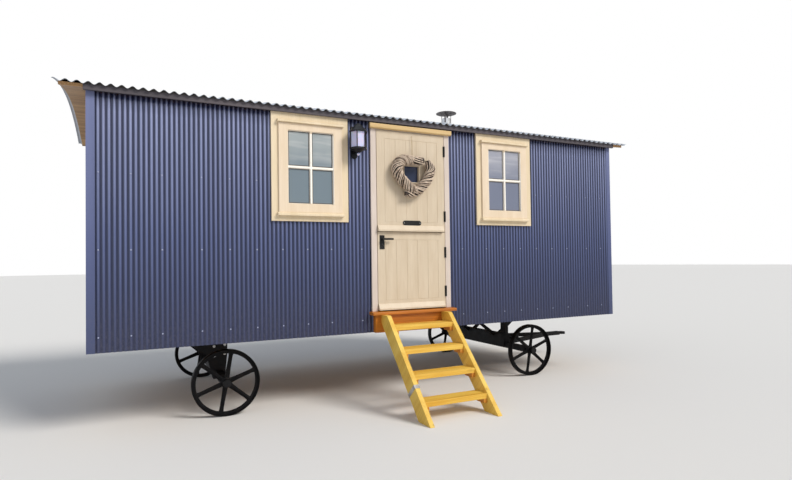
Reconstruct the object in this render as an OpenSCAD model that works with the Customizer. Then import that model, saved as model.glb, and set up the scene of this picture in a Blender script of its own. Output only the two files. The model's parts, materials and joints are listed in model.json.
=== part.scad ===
// Shepherds hut: a corrugated-iron body on a steel chassis with four spoked iron
// wheels, a steered front axle on a turntable, a stable door, two windows, a stove
// flue and a flight of timber steps. +X runs along the hut towards the drawbar,
// -Y is the door side and +Z is up from the ground.

/* [Body] */
// Length of the hut over its corners
body_l = 5600; // [4600:50:6600]
// Width of the hut over its walls
body_w = 2300; // [2000:50:2500]
// Height of the lower edge of the cladding above the ground
skirt_z = 665; // [650:5:720]
// Height of the underside of the roof boards at the eaves
eave_z = 2715; // [2710:5:2880]
// Thickness of the insulated timber wall behind the cladding
wall_t = 90; // [70:5:120]
// Height of the finished floor above the ground
floor_z = 850; // [850:5:860]
// Thickness of the insulated floor
floor_t = 135; // [100:5:135]

/* [Corrugated sheet] */
// Distance between two ridges of the wall sheet
wall_pitch = 38.1; // [30:0.1:60]
// Depth of the wall sheet's corrugation
wall_wave = 8; // [6:0.5:12]
// Distance between two ridges of the roof sheet
roof_pitch = 76.2; // [60:0.1:100]
// Depth of the roof sheet's corrugation
roof_wave = 21; // [12:0.5:24]
// Thickness of the metal sheet
sheet_t = 1; // [0.8:0.1:1.5]
// Width of a corner flashing on each wall
flash_w = 60; // [50:1:90]
// Thickness of a corner flashing
flash_t = 1.5; // [1:0.1:3]

/* [Roof] */
// Rise of the curved roof from its eaves to its crown
roof_rise = 150; // [120:5:300]
// Distance of the fascias' outer faces from the walls
eave_over = 50; // [48:1:80]
// Length by which the roof sheet passes the fascias
eave_lip = 25; // [10:1:40]
// Overhang of the roof boards at each end
end_over = 180; // [100:5:260]
// Length by which the roof sheet passes the boards at each end
sheet_over = 40; // [20:1:60]
// Thickness of the curved roof boards
deck_t = 26; // [20:1:50]
// Distance by which the fascia hangs below the roof boards
fascia_drop = 22; // [10:1:27]
// Length by which the fascia passes the hut's corners
fascia_over = 16; // [0:1:60]
// Thickness of the fascia board
fascia_t = 20; // [15:1:25]

/* [Windows] */
// Distance of the left window's middle from the hut's middle
window_left_x = -1010; // [-1100:1:-900]
// Distance of the right window's middle from the hut's middle
window_right_x = 1175; // [1100:1:1300]
// Height of the window frame's lower edge above the ground
window_low_z = 1719; // [1600:1:1719]
// Width of a window over its frame
window_w = 726; // [650:1:760]
// Height of a window over its frame
window_h = 982; // [800:1:982]
// Width of the frame beside the sash
window_jamb = 63; // [50:1:80]
// Height of the frame over the sash
window_head = 99; // [70:1:110]
// Height of the frame under the sash
window_foot = 79; // [60:1:90]
// Width by which the sash laps over its frame
sash_lap = 12; // [8:1:16]
// Thickness of the sash's lapping edge, in front of the frame
sash_out = 16; // [10:1:20]
// Thickness of the sash
sash_t = 44; // [38:1:56]
// Width of the sash's stiles
stile_w = 87; // [60:1:95]
// Height of the sash's top rail
sash_top_h = 64; // [50:1:80]
// Height of the sash's bottom rail
sash_low_h = 80; // [60:1:90]
// Width of a glazing bar
bar_w = 18; // [14:1:32]
// Width of the rebate that holds the glass
rebate_w = 10; // [6:1:14]
// Thickness of the window glass
glass_t = 14; // [6:1:18]
// Height of the drip moulding over the sash
drip_h = 28; // [20:1:36]
// Height of the sill moulding under the sash
sill_bar_h = 34; // [25:1:45]
// Depth by which the mouldings stand out from the frame
drip_out = 38; // [25:1:45]

/* [Door] */
// Distance of the door's middle from the hut's middle
door_x = 28; // [0:1:80]
// Width of the door over its casing
door_w = 884; // [820:1:940]
// Height of the top of the door's casing above the ground
door_top_z = 2688; // [2600:1:2688]
// Width of the door's casing
door_casing = 58; // [50:1:80]
// Thickness by which the casings stand out from the cladding
casing_t = 22; // [15:1:30]
// Thickness of the frame linings in the wall
lining_t = 20; // [15:1:25]
// Thickness of a door leaf
leaf_t = 44; // [35:1:50]
// Height of the gap between the two leaves above the ground
split_z = 1635; // [1560:1:1700]
// Gap round each leaf
leaf_gap = 5; // [4:0.5:6]
// Height of a weatherboard on a leaf
weather_h = 61; // [50:1:100]
// Depth of a weatherboard at its lower edge
weather_out = 34; // [20:1:45]
// Height of the front face of the hood over the door
hood_h = 46; // [35:1:52]
// Depth by which the hood stands out from the casing
hood_out = 34; // [25:1:60]
// Length by which the hood passes the casing at each end
hood_over = 15; // [5:1:30]
// Width of a leaf's stiles
leaf_stile = 84; // [70:1:100]
// Height of a leaf's top rail
leaf_rail = 78; // [60:1:110]
// Height of a leaf's bottom rail
leaf_foot = 92; // [80:1:130]
// Width and depth of the grooves in a leaf
groove_w = 2.5; // [2:0.5:6]
// Number of boards in a leaf's panel
leaf_boards = 5; // [4:1:7]
// Width of the small pane in the upper leaf
pane_w = 160; // [120:1:180]
// Height of the small pane in the upper leaf
pane_h = 160; // [120:1:200]
// Height of the small pane's middle above the ground
pane_z = 2212; // [2180:1:2240]
// Width of the bead round the small pane
pane_bead = 16; // [8:1:20]
// Distance by which that bead stands out from the leaf
bead_out = 3; // [2:0.5:6]

/* [Door furniture] */
// Length of a hinge
hinge_h = 108; // [90:1:130]
// Outer radius of a hinge's knuckles
knuckle_r = 7; // [6:0.5:8]
// Radius of a hinge pin
hinge_pin_r = 3; // [2.5:0.1:3.5]
// Width of a hinge's flap
flap_w = 10; // [9:1:28]
// Thickness of a hinge's flap
flap_t = 2.5; // [2:0.1:3]
// Distance of each hinge from the top or the bottom of its leaf
hinge_inset = 106; // [96:1:160]
// Distance of the lower leaf's upper hinge from the top of that leaf
hinge_drop = 148; // [96:1:200]
// Width of the handle's plate
plate_w = 50; // [40:1:60]
// Height of the handle's plate
plate_h = 135; // [120:1:150]
// Distance of the handle's plate from the top of the lower leaf
plate_drop = 33; // [20:1:40]
// Length of the door lever
lever_l = 105; // [85:1:115]
// Radius of the lever's spindle
spindle_r = 8; // [6:0.5:10]
// Width of the blank name plate
name_w = 205; // [180:1:220]
// Height of the blank name plate
name_h = 48; // [40:1:60]

/* [Heart wreath] */
// Radius of the woven ring's body
wreath_r = 54; // [45:1:58]
// Radius of the middle line of each lobe
lobe_r = 70; // [64:1:80]
// Distance of each lobe's centre from the wreath's middle
lobe_x = 127; // [116:1:132]
// Height of the left lobe's centre above the ground
lobe_z = 2275; // [2255:1:2285]
// Distance by which the right lobe lies lower than the left
lobe_drop = 13; // [4:1:20]
// Angle of the wreath's straight sides from the vertical
wreath_lean = 43; // [38:1:48]
// Length of the bundle across the top
bundle_l = 245; // [230:1:252]
// Radius of the cut ends of that bundle
bundle_r = 38; // [32:1:42]
// Length of the tail that leaves the tip to the left
tail_l = 110; // [90:1:120]
// Radius of that tail
tail_r = 32; // [26:1:36]
// Angle of the tail from the vertical
tail_lean = 75; // [65:1:80]

/* [Lantern] */
// Distance of the lantern's middle from the hut's middle
lantern_x = -576; // [-600:1:-550]
// Height of the lantern's middle above the ground
lantern_z = 2483; // [2400:1:2500]
// Radius of the six-sided lantern over its corner posts
lantern_r = 84; // [60:1:90]
// Height of the lantern's glass
lantern_h = 146; // [130:1:200]
// Radius of a corner post
lantern_post_r = 5; // [3:0.5:7]
// Distance of the lantern's middle from the wall's face
lantern_out = 112; // [100:1:130]
// Width of the lantern's back plate
lantern_plate_w = 64; // [50:1:90]

/* [Flue] */
// Distance of the flue from the hut's middle along the hut
flue_x = 1390; // [1300:5:1500]
// Distance of the flue behind the hut's middle
flue_y = 350; // [250:5:450]
// Outer radius of the flue pipe
flue_r = 61; // [50:1:75]
// Wall of the flue pipe
flue_wall = 2; // [1.5:0.1:4]
// Height of the collar that seals the flue to the roof
collar_h = 95; // [70:1:130]
// Length of the flue pipe that shows above its collar
flue_show = 285; // [200:5:400]
// Length of the flue pipe below the roof boards
flue_below = 140; // [60:5:145]
// Radius of the cowl's cap
cap_r = 138; // [110:1:160]
// Gap between the pipe's top and the cap
cap_gap = 70; // [50:1:100]
// Length of the cowl's straps on the pipe
cap_strap_l = 60; // [40:1:90]
// Rise of the cap's cone
cap_rise = 34; // [20:1:60]

/* [Threshold and steps] */
// Width of the door's sill board
sill_w = 930; // [900:1:980]
// Thickness of the sill board
sill_t = 30; // [22:1:34]
// Distance by which the sill stands out from the cladding
sill_out = 95; // [80:1:120]
// Height by which the sill's top stands above the floor
sill_up = 15; // [5:1:20]
// Width of the apron board below the sill
apron_w = 850; // [800:1:900]
// Distance by which the apron stands out from the cladding
apron_out = 55; // [40:1:70]
// Distance of the steps' middle from the hut's middle
steps_x = 20; // [0:1:40]
// Width of the flight over its stringers
steps_w = 715; // [640:1:760]
// Distance of the front of the flight's feet from the wall
steps_run = 975; // [900:5:1100]
// Height of the first tread's top above the ground
tread_first_z = 167; // [150:1:180]
// Rise from one tread to the next
tread_rise = 193; // [180:1:196]
// Going from one tread to the next
tread_go = 183; // [175:1:195]
// Depth of a tread from front to back
tread_d = 160; // [120:1:165]
// Thickness of a tread
tread_t = 45; // [35:1:50]
// Thickness of a stringer
stringer_t = 44; // [35:1:50]
// Depth of a stringer, measured level
stringer_d = 200; // [185:1:220]
// Section of a cleat under a tread
cleat_s = 38; // [30:1:45]
// Width of the metal strap round the left stringer
strap_w = 34; // [25:1:45]
// Thickness of the metal strap
strap_t = 3; // [2:0.5:4]
// Height of the strap above the lowest tread
strap_up = 112; // [100:1:125]

/* [Chassis] */
// Height of the chassis rails
rail_h = 100; // [80:1:105]
// Width of the chassis rails
rail_w = 50; // [40:1:60]
// Distance of each rail's middle from the hut's middle line
rail_y = 460; // [420:5:500]
// Distance of the fixed axle from the hut's left end
fixed_axle_in = 1065; // [950:5:1200]
// Distance of the steered axle from the hut's right end
steer_axle_in = 1110; // [1050:5:1250]
// Section of the chassis' cross members
cross_s = 60; // [40:5:70]
// Thickness of the bracket plates
bracket_t = 12; // [8:1:16]
// Section of the fixed axle's square beam
axle_s = 64; // [50:1:80]
// Length by which a bracket plate's wing reaches from the axle
bracket_wing = 215; // [180:5:300]
// Length by which a bracket plate reaches from the axle to its plumb side
bracket_side = 80; // [70:5:180]
// Depth of a bracket plate's wing below the chassis rails
bracket_wing_h = 65; // [50:5:120]

/* [Wheels] */
// Radius of a wheel
wheel_r = 293; // [270:1:295]
// Width of a wheel's rim
rim_w = 70; // [50:1:80]
// Radial thickness of a wheel's rim
rim_t = 31; // [20:1:36]
// Width of a spoke at the hub
spoke_w = 42; // [26:1:46]
// Width of a spoke at the rim
spoke_tip_w = 30; // [18:1:34]
// Thickness of a spoke
spoke_t = 16; // [10:1:22]
// Number of spokes in a wheel
spokes = 6; // [4:1:8]
// Angle of the first spoke from level
spoke_turn = 20; // [0:1:60]
// Outer radius of a hub
hub_r = 42; // [38:1:58]
// Length of a hub
hub_l = 110; // [90:1:130]
// Radius of an axle's journal
journal_r = 24; // [18:1:28]
// Distance of a wheel's middle from the hut's middle line
wheel_y = 930; // [900:5:960]
// Running clearance between a pin and its bore
running = 0.05; // [0.02:0.01:0.1]

/* [Turntable] */
// Outer radius of the turntable's rings
ring_r = 500; // [480:5:530]
// Width of the turntable's rings
ring_w = 80; // [60:5:110]
// Thickness of each turntable ring
ring_t = 12; // [8:1:16]
// Width of the bar across each ring
ring_bar_w = 110; // [90:5:140]
// Radius of the king pin
king_r = 22; // [16:1:28]
// Length by which the king pin passes the upper ring
king_over = 20; // [10:1:25]
// Gap between the two rings
ring_gap = 0.5; // [0.3:0.1:1]
// Height of the bolster over the steered axle
bolster_h = 150; // [120:5:160]
// Width of the bolster
bolster_w = 90; // [80:5:110]
// Thickness of the posts on the bolster
post_s = 50; // [40:1:60]
// Width of the posts on the bolster
post_w = 90; // [60:5:110]
// Thickness of the stays on the bolster
stay_t = 30; // [20:1:40]

/* [Drawbar] */
// Distance of the drawbar's eye from the steered axle
drawbar_l = 1350; // [1200:10:1500]
// Distance of the drawbar's feet from its middle
drawbar_foot = 380; // [340:5:430]
// Section of the drawbar's bars
drawbar_s = 50; // [40:1:60]
// Width of the drawbar's nose
drawbar_nose = 60; // [50:1:80]
// Length of the drawbar's nose
drawbar_nose_l = 200; // [150:5:260]
// Distance of the drawbar's brace from the bolster
drawbar_brace = 330; // [280:5:400]
// Radius of the drawbar's eye bore
eye_r = 26; // [20:1:32]
// Outer radius of the drawbar's eye
eye_out_r = 55; // [46:1:65]
// Thickness of the drawbar's eye
eye_t = 30; // [24:1:40]

/* [Hidden] */
$fn = 96;
big = 20000;
eps = 0.01;

// Faces of the hut, measured from its own middle
wall_face = body_w / 2;
end_face = body_l / 2;
core_face = wall_face - wall_wave - sheet_t;
core_end = end_face - wall_wave - sheet_t;
room_face = core_face - wall_t;
room_end = core_end - wall_t;

// Curved roof: an arc of a circle over the eaves
half_chord = wall_face + eave_over - fascia_t;
roof_r = (half_chord * half_chord + roof_rise * roof_rise) / (2 * roof_rise);
roof_cz = eave_z + roof_rise - roof_r;
roof_half_l = end_face + end_over;
sheet_half_l = roof_half_l + sheet_over;
sheet_r = roof_r + deck_t;
roof_top_r = sheet_r + roof_wave + sheet_t;
sheet_half_angle = asin((half_chord + fascia_t + eave_lip) / sheet_r);
eave_reach = roof_top_r * sin(sheet_half_angle);
function arc_z(r, y) = roof_cz + sqrt(r * r - y * y);

// The frame of the whole hut: its box is centred on the origin
fixed_axle_x = fixed_axle_in - end_face;
steer_axle_x = end_face - steer_axle_in;
drawbar_end_x = steer_axle_x + drawbar_l + eye_out_r;
box_x0 = -sheet_half_l;
box_x1 = max(sheet_half_l, drawbar_end_x);
box_y0 = -wall_face - steps_run;
box_y1 = eave_reach;
hut_x = -(box_x0 + box_x1) / 2;
hut_y = -(box_y0 + box_y1) / 2;

// Levels below the floor
chassis_top = floor_z - floor_t;
chassis_z = chassis_top - rail_h;
ring_top_z = chassis_z;
ring_low_z = ring_top_z - 2 * ring_t - ring_gap;
axle_z = wheel_r;

// Door
leaf_w = door_w - 2 * (door_casing + leaf_gap);
leaf_x0 = door_x - leaf_w / 2;
leaf_x1 = door_x + leaf_w / 2;
sill_top = floor_z + sill_up;
leaf_bottom = sill_top + 2 * leaf_gap;
leaf_top = door_top_z - door_casing - leaf_gap;
casing_face = wall_face + casing_t;
pivot_x = leaf_x1 + leaf_gap / 2;
knuckle_gap = 0.5;
pivot_y = casing_face + knuckle_r + knuckle_gap;
door_hole_w = door_w - 2 * (door_casing - lining_t);
door_hole_top = door_top_z - door_casing + lining_t;
lower_top = split_z - leaf_gap / 2;
upper_bottom = split_z + leaf_gap / 2;
knuckles = 5;
knuckle_h = hinge_h / knuckles;

// Windows
opening_w = window_w - 2 * (window_jamb + sash_lap);
opening_h = window_h - window_head - window_foot - 2 * sash_lap;
opening_z = window_low_z + window_foot + sash_lap;
sash_face = casing_face + sash_out;
sash_fit = 3;

// Flue
collar_z = arc_z(roof_top_r, flue_y);
flue_low_z = arc_z(roof_r, flue_y) - flue_below;
flue_top_z = collar_z + collar_h + flue_show;

// Steps
steps_top = sill_top - sill_t;
steps_slope = tread_rise / tread_go;
tread_n = 4;
tread_w = steps_w - 2 * stringer_t;

// Handle
handle_x = leaf_x0 + plate_w / 2 + 22;
handle_z = lower_top - plate_h / 2 - plate_drop;
lever_z = handle_z + 30;
plate_t = 5;

// Places its children in the frame of the whole hut
module placed() {
    translate([hut_x, hut_y, 0]) children();
}

// A box given by its lowest and highest corners
module span(low, high) {
    translate(low) cube(high - low);
}

// A shape drawn in the plane of Y and Z, carried along X from x0 to x1
module along_x(x0, x1) {
    translate([x0, 0, 0]) rotate([90, 0, 90]) linear_extrude(x1 - x0) children();
}

// A shape drawn in the plane of X and Z, carried along Y from y0 to y1
module along_y(y0, y1) {
    translate([0, y1, 0]) rotate([90, 0, 0]) linear_extrude(y1 - y0) children();
}

// The round space under the roof arc of radius r
module under_roof(r) {
    translate([-big / 2, 0, roof_cz]) rotate([0, 90, 0]) cylinder(r = r, h = big, $fn = 720);
}

// One wave: a level trough, a rise, a level crest and a fall
wave_at = [0.12, 0.38, 0.62, 0.88];
wave_up = [0, 1, 1, 0];

// Points of a corrugated line of n waves, centred on zero and lifted by lift
function wave_line(n, pitch, depth, lift) = [
    for (i = [0 : n - 1], k = [0 : 3])
        [(i - n / 2 + wave_at[k]) * pitch, lift + wave_up[k] * depth]
];
function reversed(list) = [for (i = [len(list) - 1 : -1 : 0]) list[i]];

// The cross-section of a corrugated sheet of thickness t, its pitch fitted to its length
module wave_section(length, wanted, depth, t) {
    n = round(length / wanted);
    pitch = length / (n - 2 * wave_at[0]);
    polygon(concat(wave_line(n, pitch, depth, t), reversed(wave_line(n, pitch, depth, 0))));
}

// Walls

// A wall's timber core over a length, cut to the curve of the roof
module core(low, high) {
    intersection() {
        span([low[0], low[1], low[2]], [high[0], high[1], arc_z(roof_r, 0)]);
        under_roof(roof_r);
    }
}

// The opening in the wall that a window's lining fills
module window_hole(x) {
    span([x - opening_w / 2 - lining_t, -wall_face - 2 * casing_t, opening_z - lining_t],
         [x + opening_w / 2 + lining_t, -room_face + wall_t, opening_z + opening_h + lining_t]);
}

module front_wall_left() {
    color("burlywood") placed() difference() {
        core([-core_end, -core_face, skirt_z], [door_x - door_hole_w / 2, -room_face, 0]);
        window_hole(window_left_x);
    }
}

module front_wall_right() {
    color("burlywood") placed() difference() {
        core([door_x + door_hole_w / 2, -core_face, skirt_z], [core_end, -room_face, 0]);
        window_hole(window_right_x);
    }
}

module front_wall_header() {
    color("burlywood") placed()
        core([door_x - door_hole_w / 2, -core_face, door_hole_top],
             [door_x + door_hole_w / 2, -room_face, 0]);
}

module back_wall() {
    color("burlywood") placed()
        core([-core_end, room_face, skirt_z], [core_end, core_face, 0]);
}

module left_end_wall() {
    color("burlywood") placed()
        core([-core_end, -room_face, skirt_z], [-room_end, room_face, 0]);
}

module right_end_wall() {
    color("burlywood") placed()
        core([room_end, -room_face, skirt_z], [core_end, room_face, 0]);
}

// Corrugated cladding

// A sheet as long as fits between the corner flashings, its crests out towards -Y
module wall_sheet(length, top) {
    translate([0, 0, skirt_z]) linear_extrude(top - skirt_z) mirror([0, 1, 0])
        translate([0, -wall_wave - sheet_t, 0])
        wave_section(length - flash_w, wall_pitch, wall_wave, sheet_t);
}

module front_cladding() {
    color("#4d5a80") placed() difference() {
        translate([0, -wall_face, 0]) wall_sheet(body_l, eave_z);
        window_hole(window_left_x);
        window_hole(window_right_x);
        span([door_x - door_hole_w / 2, -wall_face - casing_t, 0],
             [door_x + door_hole_w / 2, -core_face + eps, door_hole_top]);
    }
}

module back_cladding() {
    color("#4d5a80") placed() rotate([0, 0, 180])
        translate([0, -wall_face, 0]) wall_sheet(body_l, eave_z);
}

// An end's sheet, its top cut to the curve of the roof
module end_sheet(turn) {
    intersection() {
        rotate([0, 0, turn]) translate([0, -end_face, 0])
            wall_sheet(body_w, arc_z(roof_r, 0));
        under_roof(roof_r);
    }
}

module left_end_cladding() {
    color("#4d5a80") placed() end_sheet(-90);
}

module right_end_cladding() {
    color("#4d5a80") placed() end_sheet(90);
}

module corner_flashings() {
    color("#56628a") placed() for (mx = [0, 1], my = [0, 1])
        mirror([mx, 0, 0]) mirror([0, my, 0]) translate([end_face, wall_face, skirt_z])
            linear_extrude(eave_z - skirt_z)
            polygon([[-flash_w, 0], [0, 0], [0, -flash_w], [flash_t, -flash_w],
                     [flash_t, flash_t], [-flash_w, flash_t]]);
}

// Roof

module flue_hole(r) {
    translate([flue_x, flue_y, eave_z - big / 4]) cylinder(r = r, h = big / 2);
}

module roof_deck() {
    color("#8a6038") placed() difference() {
        intersection() {
            span([-roof_half_l, -half_chord, eave_z], [roof_half_l, half_chord, big / 2]);
            under_roof(sheet_r);
        }
        under_roof(roof_r);
        flue_hole(flue_r + 0.5);
    }
}

module roof_sheets() {
    color("#aab2b8") placed() difference() {
        translate([0, 0, roof_cz]) rotate([180 - sheet_half_angle, 0, 0]) rotate([0, 90, 0])
            rotate_extrude(angle = 2 * sheet_half_angle, $fn = 720)
            rotate([0, 0, -90]) translate([0, sheet_r])
            wave_section(2 * sheet_half_l, roof_pitch, roof_wave, sheet_t);
        flue_hole(flue_r + 0.5);
    }
}

module eaves_fascias() {
    color("#3c3a40") placed() for (s = [-1, 1]) intersection() {
        span([-end_face - fascia_over, s * (half_chord + fascia_t / 2) - fascia_t / 2, eave_z - fascia_drop],
             [end_face + fascia_over, s * (half_chord + fascia_t / 2) + fascia_t / 2, eave_z + roof_rise]);
        under_roof(sheet_r);
    }
}

// Flue

module flue_pipe() {
    color("silver") placed() translate([flue_x, flue_y, flue_low_z]) difference() {
        cylinder(r = flue_r, h = flue_top_z - flue_low_z);
        translate([0, 0, -1]) cylinder(r = flue_r - flue_wall, h = flue_top_z - flue_low_z + 2);
    }
}

module flue_flashing() {
    skirt_r = 2 * flue_r;
    color("#9aa2a8") placed() difference() {
        translate([flue_x, flue_y, collar_z - collar_h / 4]) union() {
            cylinder(r = skirt_r, h = collar_h / 3);
            translate([0, 0, collar_h / 3]) cylinder(r1 = skirt_r, r2 = flue_r + 6, h = collar_h * 2 / 3);
            cylinder(r = flue_r + 6, h = collar_h * 5 / 4);
        }
        under_roof(roof_top_r + 0.5);
        translate([flue_x, flue_y, flue_low_z]) cylinder(r = flue_r + 0.3, h = flue_top_z - flue_low_z);
    }
}

module flue_cowl() {
    strap_w = 22;
    color("#7d8288") placed() translate([flue_x, flue_y, flue_top_z]) union() {
        for (i = [0 : 3]) rotate([0, 0, 45 + 90 * i])
            translate([flue_r + 0.3, -strap_w / 2, -cap_strap_l])
                cube([3, strap_w, cap_strap_l + cap_gap + 3]);
        translate([0, 0, cap_gap]) cylinder(r = cap_r, h = 4);
        translate([0, 0, cap_gap + 4]) cylinder(r1 = cap_r - 1, r2 = 12, h = cap_rise);
    }
}

// Windows

// The frame: flat casing on the wall, linings through it and two mouldings across it
module window_frame(x) {
    color("#f3e6c8") placed() difference() {
        union() {
            span([x - window_w / 2, -casing_face, window_low_z],
                 [x + window_w / 2, -wall_face, window_low_z + window_h]);
            span([x - opening_w / 2 - lining_t, -wall_face - eps, opening_z - lining_t],
                 [x + opening_w / 2 + lining_t, -room_face, opening_z + opening_h + lining_t]);
            along_x(x - window_w / 2 + window_jamb - sash_lap, x + window_w / 2 - window_jamb + sash_lap)
                union() {
                    drip(opening_z + opening_h + sash_lap, drip_h);
                    drip(opening_z - sash_lap - sill_bar_h, sill_bar_h);
                }
        }
        span([x - opening_w / 2, -casing_face - 1, opening_z],
             [x + opening_w / 2, -room_face + 1, opening_z + opening_h]);
    }
}

// The section of a moulding of height h with its lower edge at z
module drip(z, h) {
    polygon([[-casing_face + eps, z], [-casing_face - drip_out, z + 2],
             [-casing_face - drip_out, z + h * 0.6], [-casing_face - drip_out / 2, z + h],
             [-casing_face + eps, z + h]]);
}

// The four panes' openings between two depths, each grown by edge
module panes(x, y0, y1, edge) {
    z0 = opening_z - sash_lap + sash_low_h;
    z1 = opening_z + opening_h + sash_lap - sash_top_h;
    x0 = x - window_w / 2 + window_jamb + stile_w;
    x1 = x + window_w / 2 - window_jamb - stile_w;
    span([x0 - edge, y0, z0 - edge], [x1 + edge, y1, z1 + edge]);
}

module window_sash(x) {
    zm = opening_z + (opening_h + sash_low_h - sash_top_h) / 2;
    color("#f5ead2") placed() union() {
        difference() {
            union() {
                span([x - opening_w / 2 - sash_lap, -sash_face, opening_z - sash_lap],
                     [x + opening_w / 2 + sash_lap, -casing_face, opening_z + opening_h + sash_lap]);
                span([x - opening_w / 2 + sash_fit, -casing_face - eps, opening_z + sash_fit],
                     [x + opening_w / 2 - sash_fit, -sash_face + sash_t, opening_z + opening_h - sash_fit]);
            }
            panes(x, -sash_face - 1, -sash_face + sash_t / 2, 0);
            panes(x, -sash_face + sash_t / 2 - eps, -sash_face + sash_t + 1, rebate_w);
        }
        intersection() {
            panes(x, -sash_face + 4, -sash_face + sash_t / 2, eps);
            union() {
                span([x - bar_w / 2, -big, 0], [x + bar_w / 2, 0, big]);
                span([-big, -big, zm - bar_w / 2], [big, 0, zm + bar_w / 2]);
            }
        }
    }
}

module window_glass(x) {
    y0 = -sash_face + sash_t / 2;
    color([0.6, 0.7, 0.8, 0.4]) placed() panes(x, y0, y0 + glass_t, rebate_w);
}

module left_window_frame() { window_frame(window_left_x); }
module left_window_sash() { window_sash(window_left_x); }
module left_window_glass() { window_glass(window_left_x); }
module right_window_frame() { window_frame(window_right_x); }
module right_window_sash() { window_sash(window_right_x); }
module right_window_glass() { window_glass(window_right_x); }

// Door frame

module door_frame() {
    stop = 14;
    stop_y = -casing_face + leaf_t + leaf_gap;
    lw = door_w - 2 * door_casing;
    lt = door_top_z - door_casing;
    color("#f3e6c8") placed() difference() {
        union() {
            span([door_x - door_w / 2, -casing_face, sill_top],
                 [door_x + door_w / 2, -wall_face, door_top_z]);
            span([door_x - door_hole_w / 2, -wall_face - eps, sill_top],
                 [door_x + door_hole_w / 2, -room_face, door_hole_top]);
        }
        span([door_x - lw / 2, -casing_face - 1, 0], [door_x + lw / 2, stop_y, lt]);
        span([door_x - lw / 2 + stop, stop_y - eps, 0], [door_x + lw / 2 - stop, stop_y + 15, lt - stop]);
        span([door_x - lw / 2, stop_y + 15 - eps, 0], [door_x + lw / 2, -room_face + 1, lt]);
    }
}

module door_hood() {
    w = door_w + 2 * hood_over;
    low = door_top_z - door_casing + 3;
    color("#f3e6c8") placed() along_x(door_x - w / 2, door_x + w / 2)
        polygon([[-casing_face, low], [-casing_face - hood_out + 8, low],
                 [-casing_face - hood_out, low + 8],
                 [-casing_face - hood_out, low + hood_h], [-casing_face, door_top_z]]);
}

module door_sill() {
    color("#a0521e") placed() along_x(door_x - sill_w / 2, door_x + sill_w / 2)
        polygon([[-wall_face - sill_out, sill_top - sill_t],
                 [-wall_face - sill_out, sill_top - 8], [-wall_face - sill_out + 8, sill_top - 3],
                 [-casing_face, sill_top], [-wall_face, sill_top], [-wall_face, sill_top - sill_t]]);
}

module sill_apron() {
    color("#a85a24") placed() union() {
        span([door_x - apron_w / 2, -wall_face - apron_out, skirt_z],
             [door_x + apron_w / 2, -wall_face, sill_top - sill_t]);
        span([door_x - door_hole_w / 2, -wall_face - eps, skirt_z],
             [door_x + door_hole_w / 2, -room_face, sill_top - sill_t]);
        span([door_x - door_hole_w / 2, -wall_face, sill_top - sill_t - eps],
             [door_x + door_hole_w / 2, -room_face, sill_top]);
    }
}

// Hinges

// A frame hinge: flap on the casing, outer knuckles and the pin
module frame_hinge(z) {
    translate([pivot_x, -pivot_y, z]) union() {
        for (i = [0 : 2 : knuckles - 1]) translate([0, 0, i * knuckle_h + 0.4])
            cylinder(r = knuckle_r, h = knuckle_h - 0.8);
        cylinder(r = hinge_pin_r, h = hinge_h);
        difference() {
            span([0, pivot_y - casing_face - flap_t, 0],
                 [flap_w, pivot_y - casing_face, hinge_h]);
            for (i = [1 : 2 : knuckles - 1])
                translate([0, 0, i * knuckle_h - 0.4]) cylinder(r = knuckle_r + 0.6, h = knuckle_h + 0.8);
        }
        for (i = [0 : 2 : knuckles - 1]) translate([0, 0, i * knuckle_h + 0.4])
            span([0, 0, 0], [knuckle_r, pivot_y - casing_face - eps, knuckle_h - 0.8]);
    }
}

// A leaf hinge: flap on the leaf and the inner knuckles, bored for the pin
module leaf_hinge(z) {
    translate([pivot_x, -pivot_y, z]) difference() {
        union() {
            for (i = [1 : 2 : knuckles - 1]) translate([0, 0, i * knuckle_h + 0.4]) {
                cylinder(r = knuckle_r, h = knuckle_h - 0.8);
                span([-knuckle_r, 0, 0], [-leaf_gap / 2, pivot_y - casing_face - eps, knuckle_h - 0.8]);
            }
            difference() {
                span([-leaf_gap / 2 - flap_w, pivot_y - casing_face - flap_t, 0],
                     [-leaf_gap / 2, pivot_y - casing_face, hinge_h]);
                for (i = [0 : 2 : knuckles - 1])
                    translate([0, 0, i * knuckle_h - 0.4])
                        cylinder(r = knuckle_r + 0.6, h = knuckle_h + 0.8);
            }
        }
        translate([0, 0, -1]) cylinder(r = hinge_pin_r + running, h = hinge_h + 2);
    }
}

upper_hinges = [upper_bottom + hinge_inset, leaf_top - hinge_inset - hinge_h];
lower_hinges = [leaf_bottom + hinge_inset, lower_top - hinge_drop - hinge_h];

module frame_hinges() {
    color("#1c1b1d") placed() for (z = concat(upper_hinges, lower_hinges)) frame_hinge(z);
}

module upper_leaf_hinges() {
    color("#1c1b1d") placed() for (z = upper_hinges) leaf_hinge(z);
}

module lower_leaf_hinges() {
    color("#1c1b1d") placed() for (z = lower_hinges) leaf_hinge(z);
}

// Door leaves

// A sloping weatherboard across a leaf, with its lower edge at z
module weatherboard(z) {
    along_x(leaf_x0, leaf_x1 - flap_w - 12)
        polygon([[-casing_face + eps, z], [-casing_face - weather_out, z],
                 [-casing_face - weather_out, z + 16], [-casing_face - 10, z + weather_h],
                 [-casing_face + eps, z + weather_h]]);
}

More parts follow.
